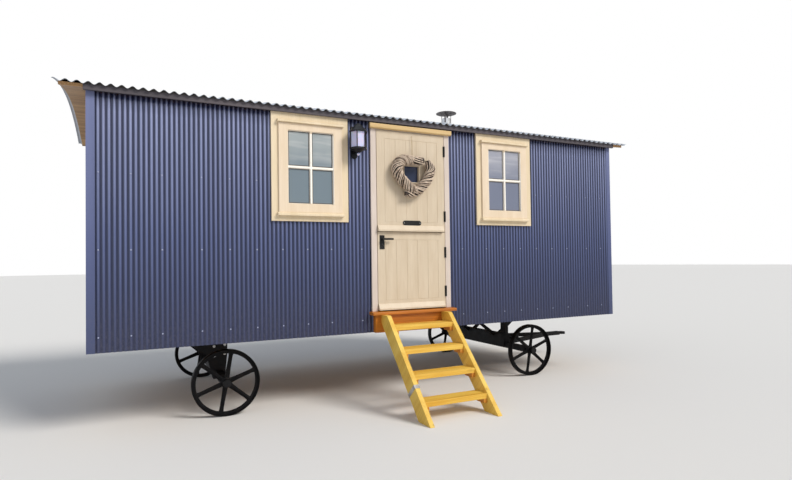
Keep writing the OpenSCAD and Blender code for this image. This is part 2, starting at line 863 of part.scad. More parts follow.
// A leaf's slab with grooves round its panel and between the panel's boards
module leaf_slab(z0, z1, foot) {
    x0 = leaf_x0 + leaf_stile;
    x1 = leaf_x1 - leaf_stile;
    board = (x1 - x0) / leaf_boards;
    difference() {
        span([leaf_x0, -casing_face, z0], [leaf_x1, -casing_face + leaf_t, z1]);
        for (i = [0 : leaf_boards])
            groove([x0 + i * board - groove_w / 2, z0 + foot],
                   [x0 + i * board + groove_w / 2, z1 - leaf_rail]);
        for (z = [z0 + foot, z1 - leaf_rail])
            groove([x0 - groove_w / 2, z - groove_w / 2], [x1 + groove_w / 2, z + groove_w / 2]);
    }
}

// A groove in the leaf's outer face between two corners given in X and Z
module groove(low, high) {
    span([low[0], -casing_face - 1, low[1]], [high[0], -casing_face + groove_w, high[1]]);
}

module upper_door_leaf() {
    color("#efe0c4") placed() difference() {
        union() {
            leaf_slab(upper_bottom, leaf_top, leaf_foot);
            weatherboard(upper_bottom);
            span([door_x - pane_w / 2 - pane_bead, -casing_face - bead_out, pane_z - pane_h / 2 - pane_bead],
                 [door_x + pane_w / 2 + pane_bead, -casing_face + leaf_t, pane_z + pane_h / 2 + pane_bead]);
        }
        span([door_x - pane_w / 2, -casing_face - bead_out - 1, pane_z - pane_h / 2],
             [door_x + pane_w / 2, -casing_face + leaf_t + 1, pane_z + pane_h / 2]);
    }
}

module upper_door_pane() {
    y = -casing_face + leaf_t / 2;
    pane_t = 6;
    color([0.45, 0.5, 0.6, 0.5]) placed()
        span([door_x - pane_w / 2, y, pane_z - pane_h / 2],
             [door_x + pane_w / 2, y + pane_t, pane_z + pane_h / 2]);
}

module lower_door_leaf() {
    color("#efe0c4") placed() union() {
        leaf_slab(leaf_bottom, lower_top, leaf_foot);
        weatherboard(leaf_bottom);
    }
}

module name_plate() {
    z = upper_bottom + weather_h + 1 + name_h / 2;
    color("#262527") placed() along_y(-casing_face - 5, -casing_face) translate([door_x, z]) union() {
        square([name_w - name_h, name_h], center = true);
        for (s = [-1, 1]) translate([s * (name_w - name_h) / 2, 0]) circle(r = name_h / 2);
    }
}

// Door lever

module handle_plate() {
    color("#1c1b1d") placed() difference() {
        span([handle_x - plate_w / 2, -casing_face - plate_t, handle_z - plate_h / 2],
             [handle_x + plate_w / 2, -casing_face, handle_z + plate_h / 2]);
        translate([handle_x, -casing_face - plate_t - 1, lever_z]) rotate([-90, 0, 0])
            cylinder(r = spindle_r + running, h = plate_t + 0.5);
    }
}

module door_lever() {
    reach = 46;
    y1 = -casing_face - 0.8;
    color("#1c1b1d") placed() translate([handle_x, y1, lever_z]) rotate([90, 0, 0]) union() {
        cylinder(r = spindle_r, h = reach);
        translate([0, 0, plate_t + 1]) cylinder(r = spindle_r + 6, h = 6);
        translate([0, -9, reach - 12]) cube([lever_l - 9, 18, 12]);
        translate([lever_l - 9, 0, reach - 12]) cylinder(r = 9, h = 12);
        translate([0, 0, reach - 12]) cylinder(r = 11, h = 12);
    }
}

// Heart wreath

// The middle line: two lobes, a bundle across the top, two straight sides down to the tip and a
// tail that leaves it to the left
side_l = (lobe_x + lobe_r * cos(wreath_lean)) / sin(wreath_lean);
tip_z = lobe_z - lobe_r * sin(wreath_lean) - side_l * cos(wreath_lean);
wreath_y = casing_face + bead_out + wreath_r + 0.3;

// Length by which each straight bundle starts inside its lobe, and how much thinner it is there
wreath_lap = 10;
wreath_step = 1;

// Degrees above level at which the left and the right lobe start
left_rise = 90;
right_rise = 75;

// The cut ends of the top bundle: their drop below its middle line, how much thinner they are
// and their length
cut_drop = 8;
cut_step = 6;
cut_l = 35;

// Place of the twine out from the casing, its radius, the bundle's radius below it, and the height
// of the twine's foot over the bundle's middle line, just clear of the rods
twine_out = 18;
twine_r = 2;
under_twine = wreath_r - 4 * wreath_step
    - (wreath_r - 4 * wreath_step - bundle_r) * (lobe_x + wreath_lap) / (bundle_l + wreath_lap);
twine_up = sqrt(pow(under_twine, 2) - pow(wreath_y - casing_face - twine_out - twine_r, 2)) + 0.2;

// A lobe, from so many degrees above level down to its straight side, with that side to the tip
module wreath_side(rise) {
    translate([lobe_x, 0, lobe_z]) union() {
        rotate([90, 0, 0]) rotate([0, 0, -wreath_lean]) rotate_extrude(angle = rise + wreath_lean)
            translate([lobe_r, 0]) circle(r = wreath_r);
        translate([lobe_r * cos(wreath_lean), 0, -lobe_r * sin(wreath_lean)])
            rotate([0, 180 + wreath_lean, 0]) translate([0, 0, -wreath_lap])
                cylinder(r = wreath_r - wreath_step, h = side_l + wreath_lap);
    }
    translate([0, 0, tip_z]) sphere(r = wreath_r);
}

module heart_wreath() {
    color("#8a7560") placed() translate([door_x, -wreath_y, 0]) union() {
        mirror([1, 0, 0]) wreath_side(left_rise);
        translate([0, 0, -lobe_drop]) wreath_side(right_rise);
        translate([-lobe_x - wreath_lap, 0, lobe_z + lobe_r]) rotate([0, 90, 0])
            cylinder(r1 = wreath_r - 4 * wreath_step, r2 = bundle_r, h = bundle_l + wreath_lap);
        translate([bundle_l - lobe_x - wreath_lap, 0, lobe_z + lobe_r - cut_drop]) rotate([0, 90, 0])
            cylinder(r = bundle_r - cut_step, h = cut_l);
        translate([0, 0, tip_z - lobe_drop]) rotate([0, 180 + tail_lean, 0])
            cylinder(r = tail_r, h = tail_l);
    }
}

module wreath_twine() {
    nail_z = leaf_top - 40;
    twine_z = lobe_z + lobe_r + twine_up;
    color("#a58d62") placed() union() {
        translate([door_x, -casing_face - 25, nail_z]) rotate([-90, 0, 0]) cylinder(r = 2.5, h = 25);
        translate([door_x, -casing_face - twine_out, twine_z]) cylinder(r = twine_r, h = nail_z - twine_z);
    }
}

// Lantern

module lantern_body() {
    foot = -lantern_h / 2;
    head = lantern_h / 2;
    hat_h = 50;
    plate_t = 8;
    plate_low = foot - 85;
    color("#1d1d20") placed() translate([lantern_x, -wall_face - lantern_out, lantern_z]) union() {
        translate([0, 0, head]) cylinder(r = lantern_r + 8, h = 8, $fn = 6);
        translate([0, 0, head + 8 - eps]) cylinder(r1 = lantern_r, r2 = lantern_r * 0.5, h = hat_h);
        translate([0, 0, head + hat_h]) sphere(r = lantern_r * 0.42);
        translate([0, 0, foot - 14]) cylinder(r = lantern_r + 4, h = 14, $fn = 6);
        translate([0, 0, foot - 44]) cylinder(r1 = 18, r2 = lantern_r * 0.75, h = 30 + eps);
        for (i = [0 : 5]) rotate([0, 0, 60 * i]) translate([lantern_r - lantern_post_r, 0, foot - eps])
            cylinder(r = lantern_post_r, h = lantern_h + 2 * eps);
        translate([-12, 0, foot - 38]) cube([24, lantern_out, 18]);
        translate([-lantern_plate_w / 2, lantern_out - plate_t, plate_low + lantern_plate_w / 2])
            cube([lantern_plate_w, plate_t, lantern_h + 130]);
        translate([0, lantern_out, plate_low + lantern_plate_w / 2]) rotate([90, 0, 0])
            cylinder(r = lantern_plate_w / 2, h = plate_t);
    }
}

// The glass and the pale ball under the lantern
module lantern_glass() {
    ball_r = 14;
    color([0.85, 0.82, 0.95, 0.8]) placed() translate([lantern_x, -wall_face - lantern_out, lantern_z]) {
        translate([0, 0, -lantern_h / 2])
            cylinder(r = lantern_r - 2 * lantern_post_r - 2, h = lantern_h, $fn = 6);
        translate([0, 0, -lantern_h / 2 - 44.3 - ball_r]) sphere(r = ball_r);
    }
}

// Steps

// A stringer: level foot, sloping edges, level top and a plumb back against the apron
module stringer(x) {
    y_foot = -wall_face - steps_run;
    y_back = -wall_face - apron_out;
    low_back = steps_slope * (steps_run - stringer_d - apron_out);
    along_x(x - stringer_t / 2, x + stringer_t / 2)
        polygon([[y_foot, 0], [y_foot + stringer_d, 0], [y_back, low_back],
                 [y_back, steps_top], [y_foot + steps_top / steps_slope, steps_top]]);
}

function tread_y(i) = -wall_face - steps_run + (tread_first_z + i * tread_rise) / steps_slope;

module step_stringers() {
    color("#e0b13c") placed() for (s = [-1, 1]) stringer(steps_x + s * (steps_w - stringer_t) / 2);
}

module step_treads() {
    color("#e6b83f") placed() for (i = [0 : tread_n - 1])
        translate([steps_x, tread_y(i), tread_first_z + i * tread_rise])
            span([-tread_w / 2, 0, -tread_t], [tread_w / 2, tread_d, 0]);
}

module step_cleats() {
    color("#c98a2e") placed() for (i = [0 : tread_n - 1], s = [-1, 1])
        translate([steps_x + s * (tread_w - cleat_s) / 2, tread_y(i),
                   tread_first_z + i * tread_rise - tread_t])
            span([-cleat_s / 2, 0, -cleat_s], [cleat_s / 2, tread_d - tread_t, 0]);
}

module stringer_strap() {
    z = tread_first_z + strap_up;
    y = -wall_face - steps_run + z / steps_slope;
    lean = atan(steps_slope);
    d = stringer_d * sin(lean);
    slack = 0.3;
    half = stringer_t / 2 + slack;
    color("#9a9a98") placed() translate([steps_x - (steps_w - stringer_t) / 2, y, z])
        rotate([lean - 90, 0, 0]) difference() {
            span([-half - strap_t, -slack - strap_t, -strap_w / 2],
                 [half + strap_t, d + slack + strap_t, strap_w / 2]);
            span([-half, -slack, -strap_w], [half, d + slack, strap_w]);
        }
}

// Chassis

module floor_deck() {
    color("#a98458") placed()
        span([-room_end, -room_face, chassis_top], [room_end, room_face, floor_z]);
}

module chassis_rails() {
    color("#222326") placed() for (s = [-1, 1])
        span([-room_end, s * rail_y - rail_w / 2, chassis_z],
             [room_end, s * rail_y + rail_w / 2, chassis_top]);
}

module chassis_cross_members() {
    half = cross_s / 2;
    in = rail_y - rail_w / 2;
    out = rail_y + rail_w / 2;
    color("#28292c") placed()
        for (x = [half - room_end, fixed_axle_x, 0, steer_axle_x, room_end - half]) {
            span([x - half, -in, chassis_top - cross_s], [x + half, in, chassis_top]);
            for (s = [-1, 1])
                span([x - half, min(s * out, s * room_face), chassis_top - cross_s],
                     [x + half, max(s * out, s * room_face), chassis_top]);
        }
}

module fixed_axle() {
    color("#1b1b1d") placed() translate([fixed_axle_x, 0, axle_z]) union() {
        inner = wheel_y - hub_l / 2 - 6;
        span([-axle_s / 2, -inner, -axle_s / 2], [axle_s / 2, inner, axle_s / 2]);
        axle_ends();
    }
}

// The two round journals of an axle, with a collar outside each wheel
module axle_ends() {
    reach = wheel_y + hub_l / 2;
    for (s = [-1, 1]) rotate([-90 * s, 0, 0]) {
        translate([0, 0, wheel_y - hub_l / 2 - 8]) cylinder(r = journal_r, h = hub_l + 24);
        translate([0, 0, reach + 5]) cylinder(r = journal_r + 10, h = 14);
    }
}

module fixed_axle_brackets() {
    top = chassis_top - cross_s;
    low = axle_z - axle_s / 2 - 16;
    wing_z = chassis_z - bracket_wing_h;
    color("#1f1f22") placed() for (s = [-1, 1], side = [-1, 1])
        translate([fixed_axle_x, s * rail_y + side * (rail_w + bracket_t) / 2 - bracket_t / 2, 0])
            rotate([90, 0, 0]) translate([0, 0, -bracket_t]) linear_extrude(bracket_t) difference() {
                polygon([[-bracket_wing, top], [-bracket_wing, wing_z],
                         [-bracket_side - 25, wing_z - 70], [-axle_s * 0.8, low],
                         [bracket_side - 25, low], [bracket_side, wing_z - 70], [bracket_side, top]]);
                translate([-axle_s / 2, axle_z - axle_s / 2]) square(axle_s);
            }
}

// Wheels

// A spoked wheel about the Y axis, its middle at the origin and its outer face towards -Y
module wheel() {
    rotate([90, 0, 0]) difference() {
        union() {
            difference() {
                cylinder(r = wheel_r, h = rim_w, center = true);
                cylinder(r = wheel_r - rim_t, h = rim_w + 2, center = true);
            }
            for (i = [0 : spokes - 1]) rotate([0, 0, spoke_turn + i * 360 / spokes])
                translate([0, 0, -spoke_t / 2]) linear_extrude(spoke_t)
                    polygon([[hub_r - 4, -spoke_w / 2], [wheel_r - rim_t + 4, -spoke_tip_w / 2],
                             [wheel_r - rim_t + 4, spoke_tip_w / 2], [hub_r - 4, spoke_w / 2]]);
            cylinder(r = hub_r, h = hub_l, center = true);
            cylinder(r = hub_r + 6, h = spoke_t + 10, center = true);
        }
        cylinder(r = journal_r + running, h = hub_l + 2, center = true);
    }
}

module wheel_at(x, y) {
    color("#19191b") placed() translate([x, y, axle_z]) rotate([0, 0, y > 0 ? 180 : 0]) wheel();
}

module front_left_wheel() { wheel_at(fixed_axle_x, -wheel_y); }
module back_left_wheel() { wheel_at(fixed_axle_x, wheel_y); }
module front_right_wheel() { wheel_at(steer_axle_x, -wheel_y); }
module back_right_wheel() { wheel_at(steer_axle_x, wheel_y); }

// Turntable and steered axle

// The flat outline of a turntable ring with a cross bar
module ring_outline() {
    difference() {
        circle(r = ring_r);
        circle(r = ring_r - ring_w);
    }
    square([2 * ring_r - ring_w, ring_bar_w], center = true);
}

module turntable_upper() {
    color("#26262a") placed() translate([steer_axle_x, 0, ring_top_z - ring_t]) difference() {
        linear_extrude(ring_t) ring_outline();
        translate([0, 0, -1]) cylinder(r = king_r + running, h = ring_t + 2);
    }
}

module turntable_lower() {
    color("#2a2a2d") placed() translate([steer_axle_x, 0, ring_low_z]) union() {
        linear_extrude(ring_t) ring_outline();
        cylinder(r = king_r, h = 2 * ring_t + ring_gap + king_over);
    }
}

// The axle with its journals, the deep bolster over it, two posts and four stays
module steered_axle() {
    bolster_z = axle_z - axle_s / 4;
    bolster_top = bolster_z + bolster_h;
    inner = wheel_y - hub_l / 2 - 6;
    post_y = ring_r - post_w / 2;
    color("#1b1b1d") placed() translate([steer_axle_x, 0, 0]) union() {
        span([-axle_s / 2, -inner, axle_z - axle_s / 2], [axle_s / 2, inner, axle_z + axle_s / 2]);
        translate([0, 0, axle_z]) axle_ends();
        span([-bolster_w / 2, -ring_r, bolster_z], [bolster_w / 2, ring_r, bolster_top]);
        for (s = [-1, 1]) {
            span([-post_s / 2, s * post_y - post_w / 2, bolster_top - eps],
                 [post_s / 2, s * post_y + post_w / 2, ring_low_z]);
            for (e = [-1, 1]) stay(s, e, bolster_top, post_y);
        }
    }
}

// A sloping stay from the bolster's top out to the turntable's ring
module stay(s, e, z0, y) {
    x0 = bolster_w / 2 - 10;
    x1 = ring_r * 0.62;
    translate([0, s * y * 0.62 + stay_t / 2, 0]) rotate([90, 0, 0]) linear_extrude(stay_t)
        polygon([[e * x0, z0 - post_s], [e * x0, z0],
                 [e * (x1 - post_s), ring_low_z], [e * x1, ring_low_z]]);
}

module drawbar() {
    z0 = axle_z - drawbar_s / 2;
    apex = drawbar_l - eye_out_r + 4;
    nose = drawbar_nose / 2;
    leg = drawbar_s * 1.1;
    x0 = bolster_w / 2;
    x1 = apex - drawbar_nose_l;
    slope = (drawbar_foot - nose) / (x1 - x0);
    brace_y = drawbar_foot - slope * drawbar_brace;
    color("#1d1d1f") placed() translate([steer_axle_x, 0, z0]) union() {
        linear_extrude(drawbar_s) union() {
            for (s = [-1, 1])
                polygon([[x0, s * drawbar_foot], [x0, s * (drawbar_foot - leg)], [x1, 0], [apex, 0],
                         [apex, s * nose], [x1, s * nose]]);
            translate([x0 + drawbar_brace, -brace_y + leg / 2])
                square([drawbar_s, 2 * brace_y - leg]);
        }
        translate([drawbar_l, 0, (drawbar_s - eye_t) / 2]) difference() {
            cylinder(r = eye_out_r, h = eye_t);
            translate([0, 0, -1]) cylinder(r = eye_r, h = eye_t + 2);
        }
    }
}

chassis_rails();
chassis_cross_members();
fixed_axle();
fixed_axle_brackets();
floor_deck();
front_wall_left();
front_wall_right();
front_wall_header();
back_wall();
left_end_wall();
right_end_wall();
front_cladding();
back_cladding();
left_end_cladding();
right_end_cladding();
corner_flashings();
eaves_fascias();
roof_deck();
roof_sheets();
flue_pipe();
flue_flashing();
flue_cowl();
left_window_frame();
left_window_sash();
left_window_glass();
right_window_frame();
right_window_sash();
right_window_glass();
door_frame();
door_hood();
door_sill();
sill_apron();
frame_hinges();
upper_door_leaf();
upper_door_pane();
upper_leaf_hinges();
name_plate();
heart_wreath();
wreath_twine();
lower_door_leaf();
lower_leaf_hinges();
handle_plate();
door_lever();
lantern_body();
lantern_glass();
step_stringers();
step_treads();
step_cleats();
stringer_strap();
turntable_upper();
turntable_lower();
steered_axle();
drawbar();
front_left_wheel();
front_right_wheel();
back_left_wheel();
back_right_wheel();
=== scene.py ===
# A shepherds hut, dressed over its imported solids: corrugated sheets, joinery, wound
# wreath, ironwork and lamps. Lengths are in metres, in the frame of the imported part.
import json
import logging
import math
from dataclasses import dataclass, field
from enum import Enum
from typing import Callable, Optional, Sequence, Union

import bmesh
import bpy
import numpy as np
from mathutils import Matrix, Vector


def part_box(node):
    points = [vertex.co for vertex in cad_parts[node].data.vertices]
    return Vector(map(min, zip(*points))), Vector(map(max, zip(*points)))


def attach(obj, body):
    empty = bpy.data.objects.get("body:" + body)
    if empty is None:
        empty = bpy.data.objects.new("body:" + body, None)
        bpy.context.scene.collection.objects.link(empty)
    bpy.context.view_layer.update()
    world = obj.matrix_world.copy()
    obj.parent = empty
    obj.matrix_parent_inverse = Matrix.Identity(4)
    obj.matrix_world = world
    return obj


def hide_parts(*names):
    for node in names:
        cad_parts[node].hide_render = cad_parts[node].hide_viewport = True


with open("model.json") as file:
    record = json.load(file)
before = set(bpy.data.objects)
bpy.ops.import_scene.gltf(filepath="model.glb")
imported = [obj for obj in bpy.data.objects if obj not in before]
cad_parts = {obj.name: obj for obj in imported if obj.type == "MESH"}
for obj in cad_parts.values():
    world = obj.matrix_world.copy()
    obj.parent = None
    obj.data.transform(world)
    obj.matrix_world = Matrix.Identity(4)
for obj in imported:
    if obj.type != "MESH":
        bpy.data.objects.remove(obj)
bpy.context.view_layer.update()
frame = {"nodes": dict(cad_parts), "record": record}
LOG = logging.getLogger("shepherds_hut")
MM = 0.001
# Points nearer than this are one: in a mesh made here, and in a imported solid.
SEAM = 2e-6
WELD = 2e-5

# Types that recur.
Triple = tuple[float, float, float]
Pairs = Sequence[tuple[float, float]]
Socket = bpy.types.NodeSocket
Value = Union[float, Socket]
Colour = Union[str, tuple, Socket]


# ---- small tools -----------------------------------------------------------------


def linear(code: str) -> tuple[float, ...]:
    """Turns an sRGB hex colour into linear light.

    Args:
        code: six hex digits, such as "efe0c2".

    Returns:
        Red, green and blue in linear light, and an alpha of one.
    """
    parts = np.array([int(code[i:i + 2], 16) for i in (0, 2, 4)]) / 255.0
    light = np.where(parts <= 0.04045, parts / 12.92, ((parts + 0.055) / 1.055) ** 2.4)
    return (float(light[0]), float(light[1]), float(light[2]), 1.0)


def shade(code: str, share: float) -> tuple[float, ...]:
    """Returns a hex colour in linear light, darkened to a share of itself."""
    return tuple(part * share for part in linear(code)[:3]) + (1.0,)


def connect(tree: bpy.types.NodeTree, node: bpy.types.Node, inputs: dict) -> None:
    """Feeds a node's inputs.

    Args:
        tree: the node's tree.
        node: the node.
        inputs: input name or number, with a value or the socket that feeds it.
    """
    for name, value in inputs.items():
        if isinstance(value, Socket):
            tree.links.new(value, node.inputs[name])
        else:
            node.inputs[name].default_value = value


def add(tree: bpy.types.NodeTree, kind: str, links: Optional[dict] = None,
        stops: Sequence[tuple] = (), **settings: object) -> bpy.types.Node:
    """Adds a shader node with its settings, colour stops and links.

    Args:
        tree: the node tree that gets the node.
        kind: the node's type name.
        links: input name or number, with a value or the socket that feeds it.
        stops: places and colours of a colour ramp.
        settings: properties of the node itself.

    Returns:
        The new node.
    """
    node = tree.nodes.new(kind)
    for name, value in settings.items():
        setattr(node, name, value)
    if stops:
        elements = node.color_ramp.elements
        while len(elements) < len(stops):
            elements.new(1.0)
        for element, (place, colour) in zip(elements, stops):
            element.position = place
            element.color = colour
    connect(tree, node, links or {})
    return node


def stand(name: str, data: bpy.types.ID) -> bpy.types.Object:
    """Makes an object of a mesh, a light or a camera and puts it in the scene."""
    made = bpy.data.objects.new(name, data)
    bpy.context.scene.collection.objects.link(made)
    return made


def middle_of(box: Sequence[Sequence[float]]) -> np.ndarray:
    """Returns the middle between a box's lowest and highest corners."""
    return np.mean(box, axis=0)


@dataclass
class Shape:
    """Points and four-cornered faces that become one mesh, with an optional tone per point."""

    points: np.ndarray
    faces: np.ndarray
    tone: Optional[np.ndarray] = None

    def moved(self, offset: Sequence[float]) -> "Shape":
        """Returns the shape shifted by an offset."""
        return Shape(self.points + np.asarray(offset, float), self.faces, self.tone)

    def turned(self, matrix: np.ndarray) -> "Shape":
        """Returns the shape with each point multiplied by a 3x3 matrix."""
        return Shape(self.points @ np.asarray(matrix, float).T, self.faces, self.tone)


def joined(shapes: Sequence[Shape]) -> Shape:
    """Gathers shapes into one, with face numbers shifted past the points before them.

    Args:
        shapes: the shapes, in order.

    Returns:
        One shape, with a tone if each of them has one.
    """
    starts = np.cumsum([0] + [len(s.points) for s in shapes[:-1]])
    points = np.concatenate([s.points for s in shapes])
    faces = np.concatenate([s.faces + start for s, start in zip(shapes, starts)])
    tones = [s.tone for s in shapes]
    tone = None if any(t is None for t in tones) else np.concatenate(tones)
    return Shape(points, faces, tone)


def copies(shape: Shape, places: np.ndarray, bases: Optional[np.ndarray] = None) -> Shape:
    """Repeats a shape at many places.

    Args:
        shape: the shape about the origin.
        places: one row of X, Y and Z for each copy.
        bases: a 3x3 turn for each copy, or None to leave them as they are.

    Returns:
        All copies as one shape.
    """
    places = np.asarray(places, float).reshape(-1, 3)
    points = np.broadcast_to(shape.points, (len(places), *shape.points.shape))
    if bases is not None:
        points = np.einsum("kij,knj->kni", bases, points)
    points = points + places[:, None, :]
    shift = np.arange(len(places))[:, None, None] * len(shape.points)
    faces = (shape.faces[None] + shift).reshape(-1, 4)
    return Shape(points.reshape(-1, 3), faces)


def grid(points: np.ndarray, wrap_rows: bool = False, wrap_columns: bool = False,
         keep: Optional[np.ndarray] = None) -> Shape:
    """Makes the faces of a surface given as a grid of points.

    Args:
        points: an array of rows by columns by 3.
        wrap_rows: joins the last row to the first.
        wrap_columns: joins the last column to the first.
        keep: true for each face that stays, for a sheet with openings.

    Returns:
        The surface. Its faces turn from a row towards the next column.
    """
    rows, columns = points.shape[:2]
    i, j = np.meshgrid(np.arange(rows - (not wrap_rows)),
                       np.arange(columns - (not wrap_columns)), indexing="ij")
    down, right = (i + 1) % rows, (j + 1) % columns
    faces = np.stack([i * columns + j, i * columns + right,
                      down * columns + right, down * columns + j], -1)
    faces = faces[keep] if keep is not None else faces.reshape(-1, 4)
    return Shape(points.reshape(-1, 3), faces)


def lathe(profile: Pairs, around: int, axis: str = "Z") -> Shape:
    """Turns a profile of (radius, height) round an axis through the origin.

    Each point of the surface is (radius cos a, radius sin a, height), with the last
    coordinate along the axis.

    Args:
        profile: radii and heights, from one end to the other.
        around: number of steps in the full turn.
        axis: "Z", or "Y" for a shape whose height runs along -Y.

    Returns:
        The turned surface, closed round the axis.
    """
    line = np.asarray(profile, float)
    angle = np.linspace(0.0, 2.0 * np.pi, around, endpoint=False)
    x = line[:, :1] * np.cos(angle)
    y = line[:, :1] * np.sin(angle)
    z = np.broadcast_to(line[:, 1:], x.shape)
    points = np.stack([x, y, z] if axis == "Z" else [x, -z, y], -1)
    return grid(points, wrap_columns=True)


def mirrored(half: Pairs) -> list[tuple[float, float]]:
    """Closes half a section of (radius, height) with its own mirror image, at minus each height."""
    ring = list(half) + [(radius, -height) for radius, height in reversed(half)]
    return ring + ring[:1]


def frame_round(low: Sequence[float], high: Sequence[float], face_y: float,
                profile: Pairs) -> Shape:
    """Carries a closed profile round a rectangle in the plane of X and Z, mitred at its corners.

    A profile point (inset, out) lies inset inside the rectangle and out in front of face_y.

    Args:
        low: lowest X and Z of the rectangle.
        high: highest X and Z of the rectangle.
        face_y: Y of the plane that the profile stands on.
        profile: the section's points in order round it.

    Returns:
        The mitred frame as a closed ring.
    """
    inset, out = np.asarray(profile, float).T
    x = np.stack([low[0] + inset, high[0] - inset, high[0] - inset, low[0] + inset])
    z = np.stack([low[1] + inset, low[1] + inset, high[1] - inset, high[1] - inset])
    y = np.broadcast_to(face_y - out, x.shape)
    return grid(np.stack([x, y, z], -1), wrap_rows=True, wrap_columns=True)


def tubes(paths: np.ndarray, radii: np.ndarray, sides: int, up: Sequence[float]) -> Shape:
    """Carries a round section along many paths at once.

    Each ring lies square to its path: point = path + radius (n cos a + b sin a), where b is
    the path's direction crossed with up, and n is b crossed with the direction.

    Args:
        paths: strands by steps by 3.
        radii: strands by steps.
        sides: number of sides of each tube.
        up: a direction that no path follows.

    Returns:
        All tubes as one shape, their ends drawn to a point.
    """
    ahead = np.gradient(paths, axis=1)
    ahead /= np.linalg.norm(ahead, axis=-1, keepdims=True) + 1e-12
    side = np.cross(ahead, np.asarray(up, float))
    side /= np.linalg.norm(side, axis=-1, keepdims=True) + 1e-12
    normal = np.cross(side, ahead)
    angle = np.linspace(0.0, 2.0 * np.pi, sides, endpoint=False)
    turn = normal[:, :, None] * np.cos(angle)[:, None] + side[:, :, None] * np.sin(angle)[:, None]
    rings = paths[:, :, None] + radii[:, :, None, None] * turn
    ends = [paths[:, :1, None] + 0.0 * rings[:, :1], paths[:, -1:, None] + 0.0 * rings[:, -1:]]
    rings = np.concatenate([ends[0], rings, ends[1]], axis=1)
    one = grid(rings[0], wrap_columns=True)
    shift = np.arange(len(rings))[:, None, None] * (rings.shape[1] * sides)
    return Shape(rings.reshape(-1, 3), (one.faces[None] + shift).reshape(-1, 4))


def bases_for(normals: np.ndarray) -> np.ndarray:
    """Works out turns: each one's columns are X, Y and Z, with Z on the normal and X level.

    Args:
        normals: one direction a row.

    Returns:
        A 3x3 turn for each normal that carries +Z onto it.
    """
    normals = np.asarray(normals, float).reshape(-1, 3)
    helper = np.where(np.abs(normals[:, 2:]) > 0.9, [[1.0, 0.0, 0.0]], [[0.0, 0.0, 1.0]])
    x = np.cross(helper, normals)
    x /= np.linalg.norm(x, axis=1, keepdims=True)
    return np.stack([x, np.cross(normals, x), normals], -1)


class Grain(Enum):
    """The way in which a board's grain or a sheet's streaks run."""

    LENGTH = (1.0, 0.0, 0.0)
    WIDTH = (0.0, 1.0, 0.0)
    HEIGHT = (0.0, 0.0, 1.0)

    def stretch(self, across: float, along: float) -> Triple:
        """Returns a size for X, Y and Z, drawn out along the grain."""
        return tuple(along if part else across for part in self.value)


# ---- finishes --------------------------------------------------------------------


@dataclass
class Brush:
    """One material's node tree, with its shader and the place of each point in the hut's frame."""

    tree: bpy.types.NodeTree
    shader: bpy.types.Node
    place: Socket

    def cloud(self, size: Triple, detail: float = 4.0, turn: Triple = (0.0, 0.0, 0.0)) -> Socket:
        """Adds soft variation.

        Args:
            size: what a patch measures, in millimetres along X, Y and Z.
            detail: number of finer layers.
            turn: how the patches are turned about X, Y and Z.

        Returns:
            The variation, about 0.5 on average.
        """
        scale = tuple(1.0 / (part * MM) for part in size)
        turned = add(self.tree, "ShaderNodeMapping", {"Vector": self.place, "Rotation": turn})
        mapped = add(self.tree, "ShaderNodeMapping", {"Vector": turned.outputs[0], "Scale": scale})
        return add(self.tree, "ShaderNodeTexNoise", {"Vector": mapped.outputs[0], "Scale": 1.0,
                                                     "Detail": detail, "Roughness": 0.58}).outputs["Fac"]

    def calc(self, operation: str, *values: Value) -> Socket:
        """Works out one sum on numbers or sockets."""
        return add(self.tree, "ShaderNodeMath", dict(enumerate(values)), operation=operation).outputs[0]

    def span(self, value: Socket, start: float, end: float, low: float = 0.0,
             high: float = 1.0) -> Socket:
        """Stretches a value from start..end to low..high, held at both ends."""
        return add(self.tree, "ShaderNodeMapRange", {"Value": value, "From Min": start, "From Max": end,
                                                     "To Min": low, "To Max": high}).outputs[0]

    def blend(self, share: Value, first: Colour, second: Colour) -> Socket:
        """Mixes two colours, each a hex code, linear parts or a socket, by a share from 0 to 1."""
        first, second = (linear(part) if isinstance(part, str) else part for part in (first, second))
        return add(self.tree, "ShaderNodeMix", {0: share, 6: first, 7: second},
                   data_type="RGBA").outputs[2]

    def ramp(self, value: Socket, *stops: tuple[float, str]) -> Socket:
        """Carries a value through hex colours that stand at places from 0 to 1."""
        return add(self.tree, "ShaderNodeValToRGB", {0: value},
                   [(place, linear(code)) for place, code in stops]).outputs[0]

    def part(self, axis: int, vector: Optional[Socket] = None) -> Socket:
        """Returns one coordinate of a vector, or of the point's place."""
        source = self.place if vector is None else vector
        return add(self.tree, "ShaderNodeSeparateXYZ", {0: source}).outputs[axis]

    def tone(self) -> Socket:
        """Returns the tone that the mesh keeps for each of its points."""
        return add(self.tree, "ShaderNodeAttribute", attribute_name="tone").outputs["Fac"]

    def feed(self, inputs: dict[str, object]) -> None:
        """Sets the shader's inputs: a number on the socket itself, a socket by a link."""
        connect(self.tree, self.shader, inputs)

    def relief(self, height: Socket, depth: float, strength: float) -> None:
        """Adds a bump of a given depth in metres."""
        bump = add(self.tree, "ShaderNodeBump", {"Height": height, "Distance": depth,
                                                 "Strength": strength})
        self.feed({"Normal": bump.outputs[0]})


